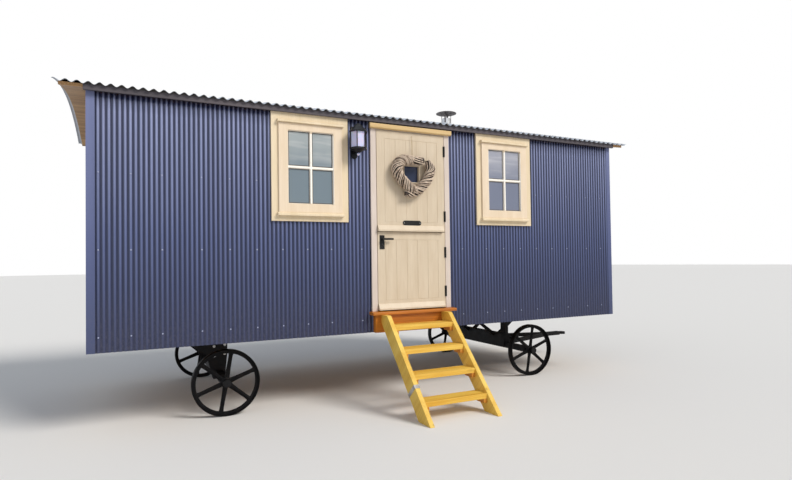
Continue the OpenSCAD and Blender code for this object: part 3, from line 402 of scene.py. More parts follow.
@dataclass(frozen=True)
class Finish:
    """What all finishes share: a name, and the start of a node tree."""

    name: str

    def material(self) -> bpy.types.Material:
        """Makes the material with its shader and lets paint() fill it in.

        Returns:
            The material, the same one each time.
        """
        known = bpy.data.materials.get(self.name)
        if known:
            return known
        material = bpy.data.materials.new(self.name)
        material.use_nodes = True
        tree = material.node_tree
        tree.nodes.clear()
        shader = add(tree, "ShaderNodeBsdfPrincipled")
        add(tree, "ShaderNodeOutputMaterial", {"Surface": shader.outputs[0]})
        self.paint(Brush(tree, shader, add(tree, "ShaderNodeTexCoord").outputs["Object"]))
        return material

    def paint(self, brush: Brush) -> None:
        """Fills in the shader. Each finish has its own."""
        raise NotImplementedError


@dataclass(frozen=True)
class PaintedSheet(Finish):
    """Coated steel sheet in satin paint: ridges painted pale lavender as a reflection, lighter towards the
    top, and grooves painted deep as shade.
    """

    # high, middle and low: painted reflection, the ridge colour from the top of the wall down to its foot.
    high: str = "98a0c6"
    middle: str = "5f6a93"
    low: str = "2b3355"
    # groove: painted shade between the ridges.
    groove: str = "1a2140"
    dust: str = "5c5b68"
    foot: float = 0.66
    top: float = 2.70
    rough: float = 0.34
    waved: bool = True
    # eave_shade: height of the painted shade under the eave.
    eave_shade: float = 0.14
    splash: float = 0.5

    def paint(self, brush: Brush) -> None:
        """Painted reflection on the ridges, lighter with height; painted shade in the grooves and under the
        eave; vertical streaks 60 mm wide and splashed dust.

        Args:
            brush: the material's node tree.
        """
        streak = brush.cloud((60, 60, 1400), 5.0)
        fleck = brush.cloud((14, 14, 22), 3.0)
        height = brush.part(2)
        # Painted reflection: the ridges are painted lighter towards the top.
        ridge = brush.ramp(brush.span(height, self.foot, self.top), (0.0, self.low),
                           (0.45, self.middle), (1.0, self.high))
        coat = brush.blend(brush.span(streak, 0.36, 0.64, 0.22, 0.0), ridge, self.low)
        if self.waved:
            # Painted shade under the eave narrows the pale ridges.
            under = brush.span(height, self.top - self.eave_shade, self.top, 0.0, 0.55)
            crest = brush.calc("SUBTRACT", brush.tone(), under)
            # Painted shade in the grooves and painted highlight on the ridges, set by the sheet's tone.
            coat = brush.blend(brush.span(crest, 0.0, 1.0), self.groove, coat)
        low = brush.span(height, self.foot, self.foot + self.splash, 0.35, 0.0)
        splash = brush.calc("MULTIPLY", low, brush.span(fleck, 0.4, 0.7, 0.2, 1.0))
        brush.feed({"Base Color": brush.blend(splash, coat, self.dust),
                    "Roughness": brush.span(fleck, 0.3, 0.7, self.rough - 0.05, self.rough + 0.1)})
        brush.relief(fleck, 0.2 * MM, 0.35)


@dataclass(frozen=True)
class Galvanised(Finish):
    """Hot-dipped zinc on steel, weathered: dull grey with a faint spangle and rain runs."""

    # pale and deep: partly the zinc's own grey, partly painted reflection; the roof is painted pale for the
    # bright sky its sheets mirror.
    pale: str = "c6ccd5"
    deep: str = "9ba3b0"
    runs: Grain = Grain.WIDTH
    metal: float = 0.2
    spangle: float = 16 * MM

    def paint(self, brush: Brush) -> None:
        """Spangle crystals about 16 mm across under runs that follow the rain.

        Args:
            brush: the material's node tree.
        """
        crystal = add(brush.tree, "ShaderNodeTexVoronoi", {"Vector": brush.place,
                                                           "Scale": 1.0 / self.spangle})
        grey = brush.part(0, crystal.outputs["Color"])
        run = brush.cloud(self.runs.stretch(35, 900), 5.0)
        share = brush.calc("ADD", brush.span(grey, 0.0, 1.0, 0.0, 0.35),
                           brush.span(run, 0.32, 0.68, 0.0, 0.65))
        brush.feed({"Base Color": brush.blend(share, self.deep, self.pale), "Metallic": self.metal,
                    "Roughness": brush.span(run, 0.3, 0.7, 0.38, 0.56)})


@dataclass(frozen=True)
class Timber(Finish):
    """Planed softwood or hardwood: long grain, darker late wood and a few knots."""

    pale: str = "e6bd63"
    deep: str = "c48a33"
    grain: Grain = Grain.LENGTH
    knots: float = 0.5
    rough: float = 0.55
    turn: Triple = (0.0, 0.0, 0.0)
    board: float = 0.0
    across: int = 1
    knot_cell: tuple[float, float] = (0.15, 0.5)

    def paint(self, brush: Brush) -> None:
        """Grain lines 4 to 7 mm apart, drawn out 60 times along the board, bent by slow drift.

        Args:
            brush: the material's node tree.
        """
        drift = brush.cloud(self.grain.stretch(120, 900), 2.0, self.turn)
        lines = brush.cloud(self.grain.stretch(7, 420), 6.0, self.turn)
        height = brush.cloud(self.grain.stretch(1.6, 90), 3.0, self.turn)
        share = brush.span(brush.calc("ADD", lines, drift), 0.78, 1.22)
        wood = brush.blend(share, self.deep, self.pale)
        turned = add(brush.tree, "ShaderNodeMapping", {"Vector": brush.place, "Rotation": self.turn})
        size = self.grain.stretch(*(1.0 / part for part in self.knot_cell))
        spread = add(brush.tree, "ShaderNodeMapping", {"Vector": turned.outputs[0], "Scale": size})
        knot = add(brush.tree, "ShaderNodeTexVoronoi", {"Vector": spread.outputs[0], "Scale": 1.0})
        eye = brush.span(knot.outputs["Distance"], 0.05, 0.12, self.knots, 0.0)
        wood = brush.blend(eye, wood, shade(self.deep, 0.45))
        if self.board:
            cell = brush.calc("FRACT", brush.calc("DIVIDE", brush.part(self.across), self.board))
            gap = brush.span(brush.calc("PINGPONG", cell, 0.5), 0.0, 0.035)
            wood = brush.blend(gap, shade(self.deep, 0.3), wood)
            height = brush.calc("MULTIPLY", height, gap)
        brush.feed({"Base Color": wood,
                    "Roughness": brush.span(lines, 0.3, 0.7, self.rough - 0.08, self.rough + 0.12)})
        brush.relief(height, 0.6 * MM, 0.5)


@dataclass(frozen=True)
class PaintedJoinery(Finish):
    """Brushed eggshell paint on planed timber: even cream with faint brush lines and warm patches."""

    pale: str = "f4dfbb"
    deep: str = "ecd3ab"
    grain: Grain = Grain.HEIGHT

    def coat(self, brush: Brush, lines: Socket) -> Socket:
        """Mixes the two creams by the brush lines and by patches 420 mm long."""
        patch = brush.cloud(self.grain.stretch(90, 420), 3.0)
        return brush.blend(brush.span(brush.calc("ADD", lines, patch), 0.75, 1.25), self.deep, self.pale)

    def paint(self, brush: Brush) -> None:
        """Brush lines 5 mm apart along the board, over patches of the coat.

        Args:
            brush: the material's node tree.
        """
        lines = brush.cloud(self.grain.stretch(5, 260))
        brush.feed({"Base Color": self.coat(brush, lines),
                    "Roughness": brush.span(lines, 0.3, 0.7, 0.42, 0.55)})
        brush.relief(lines, 0.3 * MM, 0.3)


@dataclass(frozen=True)
class SashPaint(PaintedJoinery):
    """The cream paint of a sash, white over its glazing bars as a painted highlight."""

    # bars: painted highlight, white over the bars and the pane opening.
    bars: str = "fffaf0"
    stile: float = 84 * MM

    def coat(self, brush: Brush, lines: Socket) -> Socket:
        """Cream all over, then white over the pane opening as a painted highlight, found from the sash's own
        box.

        Args:
            brush: the material's node tree.
            lines: the brush lines.

        Returns:
            The colour.
        """
        cream = super().coat(brush, lines)
        place = add(brush.tree, "ShaderNodeTexCoord").outputs["Generated"]
        low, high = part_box("left_window_sash")
        inner = [self.inside(brush, brush.part(axis, place), self.stile / (high[axis] - low[axis]))
                 for axis in (0, 2)]
        return brush.blend(brush.calc("MULTIPLY", *inner), cream, self.bars)

    def inside(self, brush: Brush, share: Socket, edge: float) -> Socket:
        """Returns 1 where a share of the box lies between its two edges, else 0."""
        return brush.calc("MULTIPLY", brush.calc("GREATER_THAN", share, edge),
                          brush.calc("LESS_THAN", share, 1.0 - edge))


@dataclass(frozen=True)
class Glazing(Finish):
    """Double glazing with a painted reflection: slate below its middle, mirrored cloud in pale bands above
    it.
    """

    # sky, the cloud tone and slate are the colours of the painted reflection.
    sky: str = "aab1b8"
    reflected_cloud_tone: str = "cdd0d3"
    slate: str = "7c8a9c"
    band: float = 2.30
    soft: float = 0.10

    def paint(self, brush: Brush) -> None:
        """A slightly clear pane under a painted reflection; clouds are level patches 700 by 90 mm above the
        band's height.

        Args:
            brush: the material's node tree.
        """
        drift = brush.cloud((500, 500, 260), 2.0)
        wisps = brush.cloud((700, 700, 90), 3.0)
        edge = brush.calc("ADD", brush.part(2), brush.span(drift, 0.3, 0.7, -0.05, 0.05))
        share = brush.span(edge, self.band - self.soft, self.band + self.soft)
        # Painted reflection: pale cloud above the band, slate below it.
        clouds = brush.blend(brush.span(wisps, 0.45, 0.62, 0.0, 0.8), self.sky, self.reflected_cloud_tone)
        brush.feed({"Base Color": brush.blend(share, self.slate, clouds), "Roughness": 0.06,
                    "Transmission Weight": 0.12, "IOR": 1.5})


@dataclass(frozen=True)
class FrostedGlass(Finish):
    """Etched lamp glass: pale lavender, evenly milky."""

    tint: str = "d5d2f2"

    def paint(self, brush: Brush) -> None:
        """Milky body with a fine etched grain of about 2 mm."""
        etch = brush.span(brush.cloud((2, 2, 2), 2.0), 0.3, 0.7, 0.0, 0.12)
        brush.feed({"Base Color": brush.blend(etch, self.tint, "ffffff"), "Roughness": 0.3,
                    "Subsurface Weight": 0.3, "Subsurface Scale": 0.01})


@dataclass(frozen=True)
class BlackIron(Finish):
    """Painted iron and steel: near-black satin, dusty on top and rubbed brown in places."""

    colour: str
    dust: str
    rust: str
    rough: float
    wear: float
    shine: float = 0.3

    def paint(self, brush: Brush) -> None:
        """Dust patches of 70 mm and rust specks of 9 mm over satin black.

        Args:
            brush: the material's node tree.
        """
        patch = brush.cloud((70, 70, 70), 5.0)
        speck = brush.cloud((9, 9, 9), 5.0)
        dusty = brush.blend(brush.span(patch, 0.48, 0.72, 0.0, self.wear), self.colour, self.dust)
        worn = brush.blend(brush.span(speck, 0.62, 0.72, 0.0, self.wear), dusty, self.rust)
        brush.feed({"Base Color": worn, "Specular IOR Level": self.shine,
                    "Roughness": brush.span(patch, 0.3, 0.7, self.rough - 0.1, self.rough + 0.2)})
        brush.relief(speck, 0.5 * MM, 0.4)


@dataclass(frozen=True)
class BrushedSteel(Finish):
    """Stainless or zinc-plated steel, drawn lines round it and a dull sheen."""

    pale: str
    deep: str
    metal: float
    rough: float = 0.34

    def paint(self, brush: Brush) -> None:
        """Drawn lines 1.5 mm apart with soot-grey patches of 60 mm.

        Args:
            brush: the material's node tree.
        """
        drawn = brush.cloud((60, 60, 1.5), 3.0)
        patch = brush.cloud((60, 60, 90))
        share = brush.span(brush.calc("ADD", drawn, patch), 0.8, 1.2)
        brush.feed({"Base Color": brush.blend(share, self.deep, self.pale), "Metallic": self.metal,
                    "Roughness": brush.span(patch, 0.3, 0.7, self.rough - 0.08, self.rough + 0.14)})


@dataclass(frozen=True)
class Willow(Finish):
    """Bare willow rods: grey-brown bark, each rod its own tone, the darkest tones painted shade between the
    rods, peeled pale where it is scuffed.
    """

    pale: str = "dcc9b5"
    bark: str = "7b624d"
    deep: str = "2a1b12"
    scuff: str = "efe0d0"

    def paint(self, brush: Brush) -> None:
        """The rod's own tone, with scuffs 25 mm long and bark flecks of 5 mm.

        Args:
            brush: the material's node tree.
        """
        tone = brush.tone()
        scuffed = brush.cloud((22, 22, 26), 3.0)
        bark = brush.cloud((5, 5, 9))
        rod = brush.ramp(brush.calc("ADD", tone, brush.span(scuffed, 0.35, 0.65, -0.22, 0.22)),
                         (0.0, self.deep), (0.45, self.bark), (1.0, self.pale))
        peeled = brush.calc("MULTIPLY", brush.span(bark, 0.56, 0.72, 0.0, 0.5),
                            brush.span(tone, 0.3, 0.7))
        brush.feed({"Base Color": brush.blend(peeled, rod, self.scuff), "Roughness": 0.6})
        brush.relief(bark, 0.6 * MM, 0.5)


@dataclass(frozen=True)
class Twine(Finish):
    """Jute twine: twisted straw-coloured fibre."""

    pale: str = "b79c6c"
    deep: str = "86704a"
    twist: float = 3 * MM

    def paint(self, brush: Brush) -> None:
        """A twist of 3 mm along the twine.

        Args:
            brush: the material's node tree.
        """
        twist = add(brush.tree, "ShaderNodeTexWave", {"Vector": brush.place, "Distortion": 2.0,
                                                      "Scale": 1.0 / (2.0 * self.twist)},
                    bands_direction="DIAGONAL")
        brush.feed({"Base Color": brush.blend(twist.outputs["Fac"], self.deep, self.pale),
                    "Roughness": 0.85})


class Finishes:
    """Every finish on the hut, by its plain name."""

    navy = PaintedSheet("coated_steel_navy")
    # Painted reflection: the flashing is painted lighter towards the top, by the same height ramp as the
    # ridges.
    trim = PaintedSheet("folded_flashing_navy", "757da4", "565f87", "3a4468", waved=False)
    # Partly painted reflection: the roof zinc is painted pale for the sky it mirrors.
    zinc = Galvanised("hot_dipped_zinc_roof")
    collar = Galvanised("hot_dipped_zinc_collar", "dfe2e6", "b9bfc8", Grain.HEIGHT)
    strap = BrushedSteel("galvanised_strap", "c9c6c4", "8f8d8c", 0.5, 0.45)
    flue = BrushedSteel("stainless_flue", "e3e3e3", "b1b2b4", 0.5)
    cowl = BrushedSteel("weathered_flue_cowl", "86807f", "59514f", 0.35, 0.5)
    fascia = Timber("painted_fascia_board", "524b50", "3f3a40", knots=0.0, rough=0.6)
    filler = Timber("foam_wave_filler", "47423f", "363231", knots=0.0, rough=0.9)
    soffit = Timber("stained_roof_boards", "cfa571", "a67c50", board=0.095, across=1)
    walls = Timber("sawn_wall_boards", "d9b98a", "b98f5c", Grain.HEIGHT, board=0.11, across=2)
    floor = Timber("floor_boards", "c79b62", "9a6f3e", board=0.12, across=1)
    cream = PaintedJoinery("brushed_cream_paint", "e8d6bd", "dcc8a8")
    surround = PaintedJoinery("brushed_cream_paint_surround", "ead8ba", "decaa6")
    casing = PaintedJoinery("brushed_cream_paint_casing", "dccec4", "cfc0b4")
    # Painted shade: the door leaves are a greyer, darker copy of the cream, for the shade they stand in.
    leaf = PaintedJoinery("cream_paint_leaf_painted_shade", "d7c7af", "ccbaa0")
    # Painted shade: the hood is a darker tan copy of the cream, for the eave's shadow on it.
    hood = PaintedJoinery("cream_paint_hood_painted_shade", "dcbd86", "caa66c", Grain.LENGTH)
    # Painted highlight: the glazing beads are painted near-white for their bright edges.
    bead = PaintedJoinery("white_bead_painted_highlight", "fffaf0", "f6ecdb")
    sash = SashPaint("brushed_cream_paint_sash", "ecd9c0", "e2cdb0")
    sill = Timber("stained_hardwood_sill", "c8781c", "98540a", knots=0.0, rough=0.42)
    tread = Timber("treated_pine_treads", "efca5e", "d6a02c")
    stringer = Timber("treated_pine_stringers", "f2cf66", "dcae3e", Grain.HEIGHT,
                      turn=(math.radians(-43.5), 0.0, 0.0))
    cleat = Timber("treated_pine_cleats", "dd9c3c", "b8721f", Grain.WIDTH)
    # The glass finishes are painted reflections, with tones of their own for each window and for the door
    # pane.
    glass = Glazing("double_glazing")
    left_glass = Glazing("double_glazing_left", "aab3b6", "cfd2d2", "7d8c96")
    right_glass = Glazing("double_glazing_right", "adb0bd", "cfcfd6", "848b9f")
    dark_glass = Glazing("double_glazing_door", "464e68", "5a6178", "39415c")
    # Partly painted shade: the dark spacer stands for the real spacer bar and for the shade at each pane's
    # edge.
    spacer = BlackIron("dark_spacer_painted_shade", "57534f", "6a665f", "57534f", 0.5, 0.1)
    iron = BlackIron("black_door_iron", "191919", "3a3633", "3d2b22", 0.4, 0.15)
    steel = BlackIron("painted_chassis_steel", "0d0d0f", "332f2d", "3f2b21", 0.5, 0.3, 0.2)
    wheel = BlackIron("painted_cast_iron", "070709", "2b2725", "3c2a20", 0.5, 0.35, 0.12)
    lamp = BlackIron("satin_black_lantern", "15161a", "2b2c33", "15161a", 0.32, 0.1)
    lamp_glass = FrostedGlass("etched_lamp_glass")
    willow = Willow("bare_willow_rods")
    twine = Twine("jute_twine")
    bolt = BrushedSteel("zinc_plated_bolts", "eceded", "c2c5c8", 0.25, 0.4)
    # Painted highlight: the navy screw heads are painted pale lavender for their glint.
    screw = PaintedSheet("navy_screws_painted_highlight", "aab0cc", "98a0bd", "7f88a6", foot=-9.0, waved=False)

    # The finish of each material slot of the record, for the nodes that stay.
    by_slot = {
        "navy_sheet": navy, "navy_trim": trim, "galvanised_sheet": collar, "stove_steel": flue,
        "charcoal_board": fascia, "roof_boards": soffit, "wall_timber": walls,
        "floor_timber": floor, "cream_joinery": cream, "window_glass": glass,
        "sill_timber": sill, "black_iron": iron, "willow": willow, "twine": twine,
        "lantern_metal": lamp, "frosted_glass": lamp_glass, "step_timber": tread,
        "strap_steel": strap, "black_steel": steel, "wheel_iron": wheel,
    }
    by_node = {"step_stringers": stringer, "step_cleats": cleat, "door_hood": hood,
               "door_frame": casing, "upper_door_pane": dark_glass,
               "upper_door_leaf": leaf, "lower_door_leaf": leaf, "flue_cowl": cowl,
               "left_window_glass": left_glass, "right_window_glass": right_glass,
               "left_window_frame": surround, "right_window_frame": surround,
               "left_window_sash": sash, "right_window_sash": sash}


# ---- the hut's own measures --------------------------------------------------------


@dataclass
class Hut:
    """Main faces and levels of the hut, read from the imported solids."""

    middle: tuple[float, float] = (0.0, 0.0)
    front: float = 0.0
    back: float = 0.0
    left: float = 0.0
    right: float = 0.0
    skirt: float = 0.0
    eave: float = 0.0
    half_chord: float = 0.0
    rise: float = 0.0
    deck: float = 26 * MM

    @classmethod
    def measured(cls) -> "Hut":
        """Reads the faces from the boxes of the cladding and the roof boards.

        Returns:
            The hut with its measures.
        """
        front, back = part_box("front_cladding"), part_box("back_cladding")
        left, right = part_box("left_end_cladding"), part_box("right_end_cladding")
        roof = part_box("roof_deck")
        hut = cls(front=front[0][1], back=back[1][1], left=left[0][0], right=right[1][0],
                  skirt=front[0][2], eave=roof[0][2])
        hut.middle = ((hut.left + hut.right) / 2, (hut.front + hut.back) / 2)
        hut.half_chord = (roof[1][1] - roof[0][1]) / 2
        hut.rise = roof[1][2] - roof[0][2] - hut.deck
        return hut

    @property
    def roof_radius(self) -> float:
        """Radius of the underside of the roof boards: (chord squared + rise squared) / twice the rise."""
        return (self.half_chord ** 2 + self.rise ** 2) / (2 * self.rise)

    @property
    def roof_centre(self) -> float:
        """Height of the centre of the roof's circle."""
        return self.eave + self.rise - self.roof_radius

    def arc(self, y: np.ndarray, radius: float) -> np.ndarray:
        """Returns the height of a roof arc of a given radius over each Y."""
        return self.roof_centre + np.sqrt(radius ** 2 - (y - self.middle[1]) ** 2)


@dataclass
class Assembly:
    """A part of the hut that builds its own pieces."""

    hut: Hut

    def piece(self, shape: Shape, name: str, body: str, finish: Finish, slot: str,
              smooth: bool = True, closed: bool = True) -> bpy.types.Object:
        """Makes a mesh of a shape, dresses it and sets it riding.

        Args:
            shape: points and faces in the hut's frame.
            name: the new object's name.
            body: the moving body that it rides on.
            finish: what it is made of.
            slot: the record's material slot; not used.
            smooth: shades it smoothly.
            closed: merges doubles and turns all faces outwards.

        Returns:
            The new object.
        """
        mesh = bpy.data.meshes.new(name)
        mesh.from_pydata(shape.points.tolist(), [], shape.faces.tolist())
        if shape.tone is not None:
            mesh.attributes.new("tone", "FLOAT", "POINT").data.foreach_set(
                "value", shape.tone.astype(np.float32))
        if closed:
            shell = bmesh.new()
            shell.from_mesh(mesh)
            bmesh.ops.remove_doubles(shell, verts=shell.verts, dist=SEAM)
            bmesh.ops.recalc_face_normals(shell, faces=shell.faces)
            shell.to_mesh(mesh)
            shell.free()
        mesh.polygons.foreach_set("use_smooth", np.full(len(mesh.polygons), smooth))
        mesh.update()
        mesh.materials.append(finish.material())
        made = stand(name, mesh)
        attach(made, body)
        LOG.info("%s: %d faces, rides on %s", name, len(mesh.polygons), body)
        return made

    def soften(self, made: bpy.types.Object, width: float, segments: int = 2,
               angle: float = 35.0) -> None:
        """Rounds a piece's sharp edges by a small bevel.

        Args:
            made: the object.
            width: the bevel's width in metres.
            segments: number of steps in the rounding.
            angle: the least angle of a sharp edge, in degrees.
        """
        bevel = made.modifiers.new("rounded", "BEVEL")
        bevel.width = width
        bevel.segments = segments
        bevel.limit_method = "ANGLE"
        bevel.angle_limit = math.radians(angle)
        bevel.harden_normals = True

    def thicken(self, made: bpy.types.Object, thickness: float) -> None:
        """Gives an open sheet its thickness, behind its face.

        Args:
            made: the object.
            thickness: the gauge in metres.
        """
        wall = made.modifiers.new("sheet", "SOLIDIFY")
        wall.thickness = thickness
        wall.offset = -1.0


def screw_head(radius: float, height: float, around: int = 8) -> Shape:
    """A round cap over a washer, standing on Z = 0."""
    return lathe([(0.0, height), (radius * 0.62, height * 0.94), (radius * 0.72, height * 0.35),
                  (radius, height * 0.25), (radius, -1 * MM)], around)


# ---- cladding ----------------------------------------------------------------------


@dataclass
class WallSheets(Assembly):
    """Small-corrugated sheets on the four walls, lapped every seventeen waves, with their screws.

    The three edges of a window and the three clearances of a screw lie beside, below and
    above an opening.
    """

    pitch: float = 38.1 * MM
    depth: float = 8 * MM
    gauge: float = 0.8 * MM
    margin: float = 2 * MM
    lap_waves: int = 17
    steps: int = 12
    screw_waves: tuple[int, ...] = (0, 6, 12, 20, 26, 32)
    crest_at: float = -2718 * MM
    screw_rows: tuple[float, ...] = (0.785, 1.465, 2.072)
    screw_size: tuple[float, float] = (6.5 * MM, 4 * MM)
    screw_clear: Triple = (70 * MM, 90 * MM, 110 * MM)
    window_edge: Triple = (55 * MM, 71 * MM, 91 * MM)
    side_lap: float = 1.02
    shortest: float = 100 * MM
    middle_rows: tuple[float, float] = (1.4, 2.1)
    under_eave: float = 20 * MM

    def wave(self, along: np.ndarray, first: float) -> np.ndarray:
        """Height of the wave from 0 to 1: half of one plus the cosine of the place past a crest."""
        return 0.5 * (1.0 + np.cos(2.0 * np.pi * (along - first) / self.pitch))

    def ridge(self, height: np.ndarray) -> np.ndarray:
        """Share of the ridge's painted highlight: 0 up to a fifth of the wave's height, 1 above nine tenths;
        the rest is the groove's painted shade.
        """
        share = np.clip((height - 0.2) / 0.7, 0.0, 1.0)
        return share * share * (3.0 - 2.0 * share)

    def sheet(self, length: float, first: float, holes: Sequence[tuple], low: float,
              top: Callable) -> tuple[Shape, np.ndarray]:
        """Lays lapped sheets over a length, with openings.

        A point is (s, inwards, z), where inwards is the wave plus a gauge under a lap.

        Args:
            length: distance along the wall.
            first: place of a crest, from the wall's start.
            holes: openings as lowest s, highest s, lowest z, highest z.
            low: level of the sheet's foot.
            top: function that gives the sheet's top over each s.

        Returns:
            The open sheets, and the places of the crests.
        """
        cover = self.lap_waves * self.pitch
        laps = np.arange(first % self.pitch + cover, length - self.shortest, cover)
        starts = np.concatenate([[0.0], laps])
        parts = []
        for number, start in enumerate(starts):
            last = number + 1 == len(starts)
            end = length if last else min(starts[number + 1] + self.side_lap * self.pitch, length)
            along = np.arange(start, end, self.pitch / self.steps)
            sides = (-self.margin, 0.0, self.margin)
            marks = [s + step for hole in holes for s in hole[:2] if start < s < end for step in sides]
            along = np.unique(np.concatenate([along, marks, [end]]))
            edges = [low] + [z for hole in holes for z in hole[2:]]
            levels = np.unique([z + step for z in edges for step in sides] + list(self.middle_rows))
            levels = levels[(levels >= low) & (levels < self.hut.eave - self.under_eave)]
            level = np.concatenate([np.repeat(levels[:, None], len(along), 1), top(along)[None]])
            s = np.broadcast_to(along, level.shape)
            height = self.wave(s, first)
            inwards = self.depth * (1.0 - height) - self.gauge * (number % 2)
            mid_s = (along[1:] + along[:-1]) / 2
            mid_z = (level[1:, :-1] + level[:-1, :-1]) / 2
            keep = np.ones(mid_z.shape, bool)
            for s0, s1, z0, z1 in holes:
                keep &= ~((mid_s > s0) & (mid_s < s1) & (mid_z > z0) & (mid_z < z1))
            strip = grid(np.stack([s, inwards, level], -1), keep=keep)
            # The tone spreads the painted highlight over the ridges and the painted shade over the grooves.
            strip.tone = self.ridge(height).ravel()
            parts.append(strip)
        return joined(parts), np.arange(first % self.pitch, length, self.pitch)

    def clad(self, name: str, origin: tuple[float, float], turn: float, length: float,
             first: float, holes: Sequence[tuple], top: Callable) -> None:
        """Clads one wall: s runs along it and inwards points into the hut, both turned about Z.

        Args:
            name: the node of the solid sheet that the new ones replace.
            origin: X and Y of the wall's start.
            turn: the angle from X to the wall.
            length: distance along the wall.
            first: place of a crest, from the wall's start.
            holes: openings as lowest s, highest s, lowest z, highest z.
            top: function that gives the sheet's top over each s.
        """
        shape, crests = self.sheet(length, first, holes, self.hut.skirt, top)
        cos, sin = math.cos(turn), math.sin(turn)
        matrix = np.array([[cos, -sin, 0.0], [sin, cos, 0.0], [0.0, 0.0, 1.0]])
        base = np.array([origin[0], origin[1], 0.0])
        made = self.piece(shape.turned(matrix).moved(base), name.replace("_cladding", "_sheets"),
                          "hut", Finishes.navy, "navy_sheet", closed=False)
        self.thicken(made, self.gauge)
        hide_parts(name)
        lead = int(round((first - crests[0]) / self.pitch))
        period = self.screw_waves[-1] + self.screw_waves[1]
        held = crests[np.isin((np.arange(len(crests)) - lead) % period, self.screw_waves)]
        beside, below, above = self.screw_clear
        spots = [(s, z) for z in self.screw_rows for s in held
                 if not any(h[0] - beside < s < h[1] + beside and h[2] - below < z < h[3] + above
                            for h in holes)]
        places = np.array([(s, -self.gauge, z) for s, z in spots]) @ matrix.T + base
        outwards = np.tile(matrix @ np.array([0.0, -1.0, 0.0]), (len(places), 1))
        heads = copies(screw_head(*self.screw_size), places, bases_for(outwards))
        self.piece(heads, name.replace("_cladding", "_screws"), "hut", Finishes.screw, "navy_sheet")

    def build(self) -> None:
        """Clads the front with its openings, then the back and the two ends."""
        hut = self.hut
        side, below, above = self.window_edge
        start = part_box("front_cladding")[0][0]
        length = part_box("front_cladding")[1][0] - start
        holes = []
        for node in ("left_window_frame", "right_window_frame"):
            low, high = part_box(node)
            holes.append((low[0] - start + side, high[0] - start - side,
                          low[2] + below, high[2] - above))
        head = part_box("front_wall_header")
        holes.append((head[0][0] - start, head[1][0] - start, hut.skirt - 1.0, head[0][2]))

        def eave(s: np.ndarray) -> np.ndarray:
            """Top of a long wall: the eaves."""
            return np.full(len(s), hut.eave)

        def arch(s: np.ndarray) -> np.ndarray:
            """Top of an end: the underside of the roof boards."""
            return hut.arc(hut.middle[1] - ends / 2 + s, hut.roof_radius) - 1 * MM

        first = hut.middle[0] + self.crest_at - start
        self.clad("front_cladding", (start, hut.front), 0.0, length, first, holes, eave)
        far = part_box("back_cladding")[1][0]
        self.clad("back_cladding", (far, hut.back), math.pi, length, first, (), eave)
        low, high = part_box("left_end_cladding")
        ends = high[1] - low[1]
        self.clad("left_end_cladding", (hut.left, high[1]), -math.pi / 2, ends, ends / 2, (), arch)
        self.clad("right_end_cladding", (hut.right, low[1]), math.pi / 2, ends, ends / 2, (), arch)


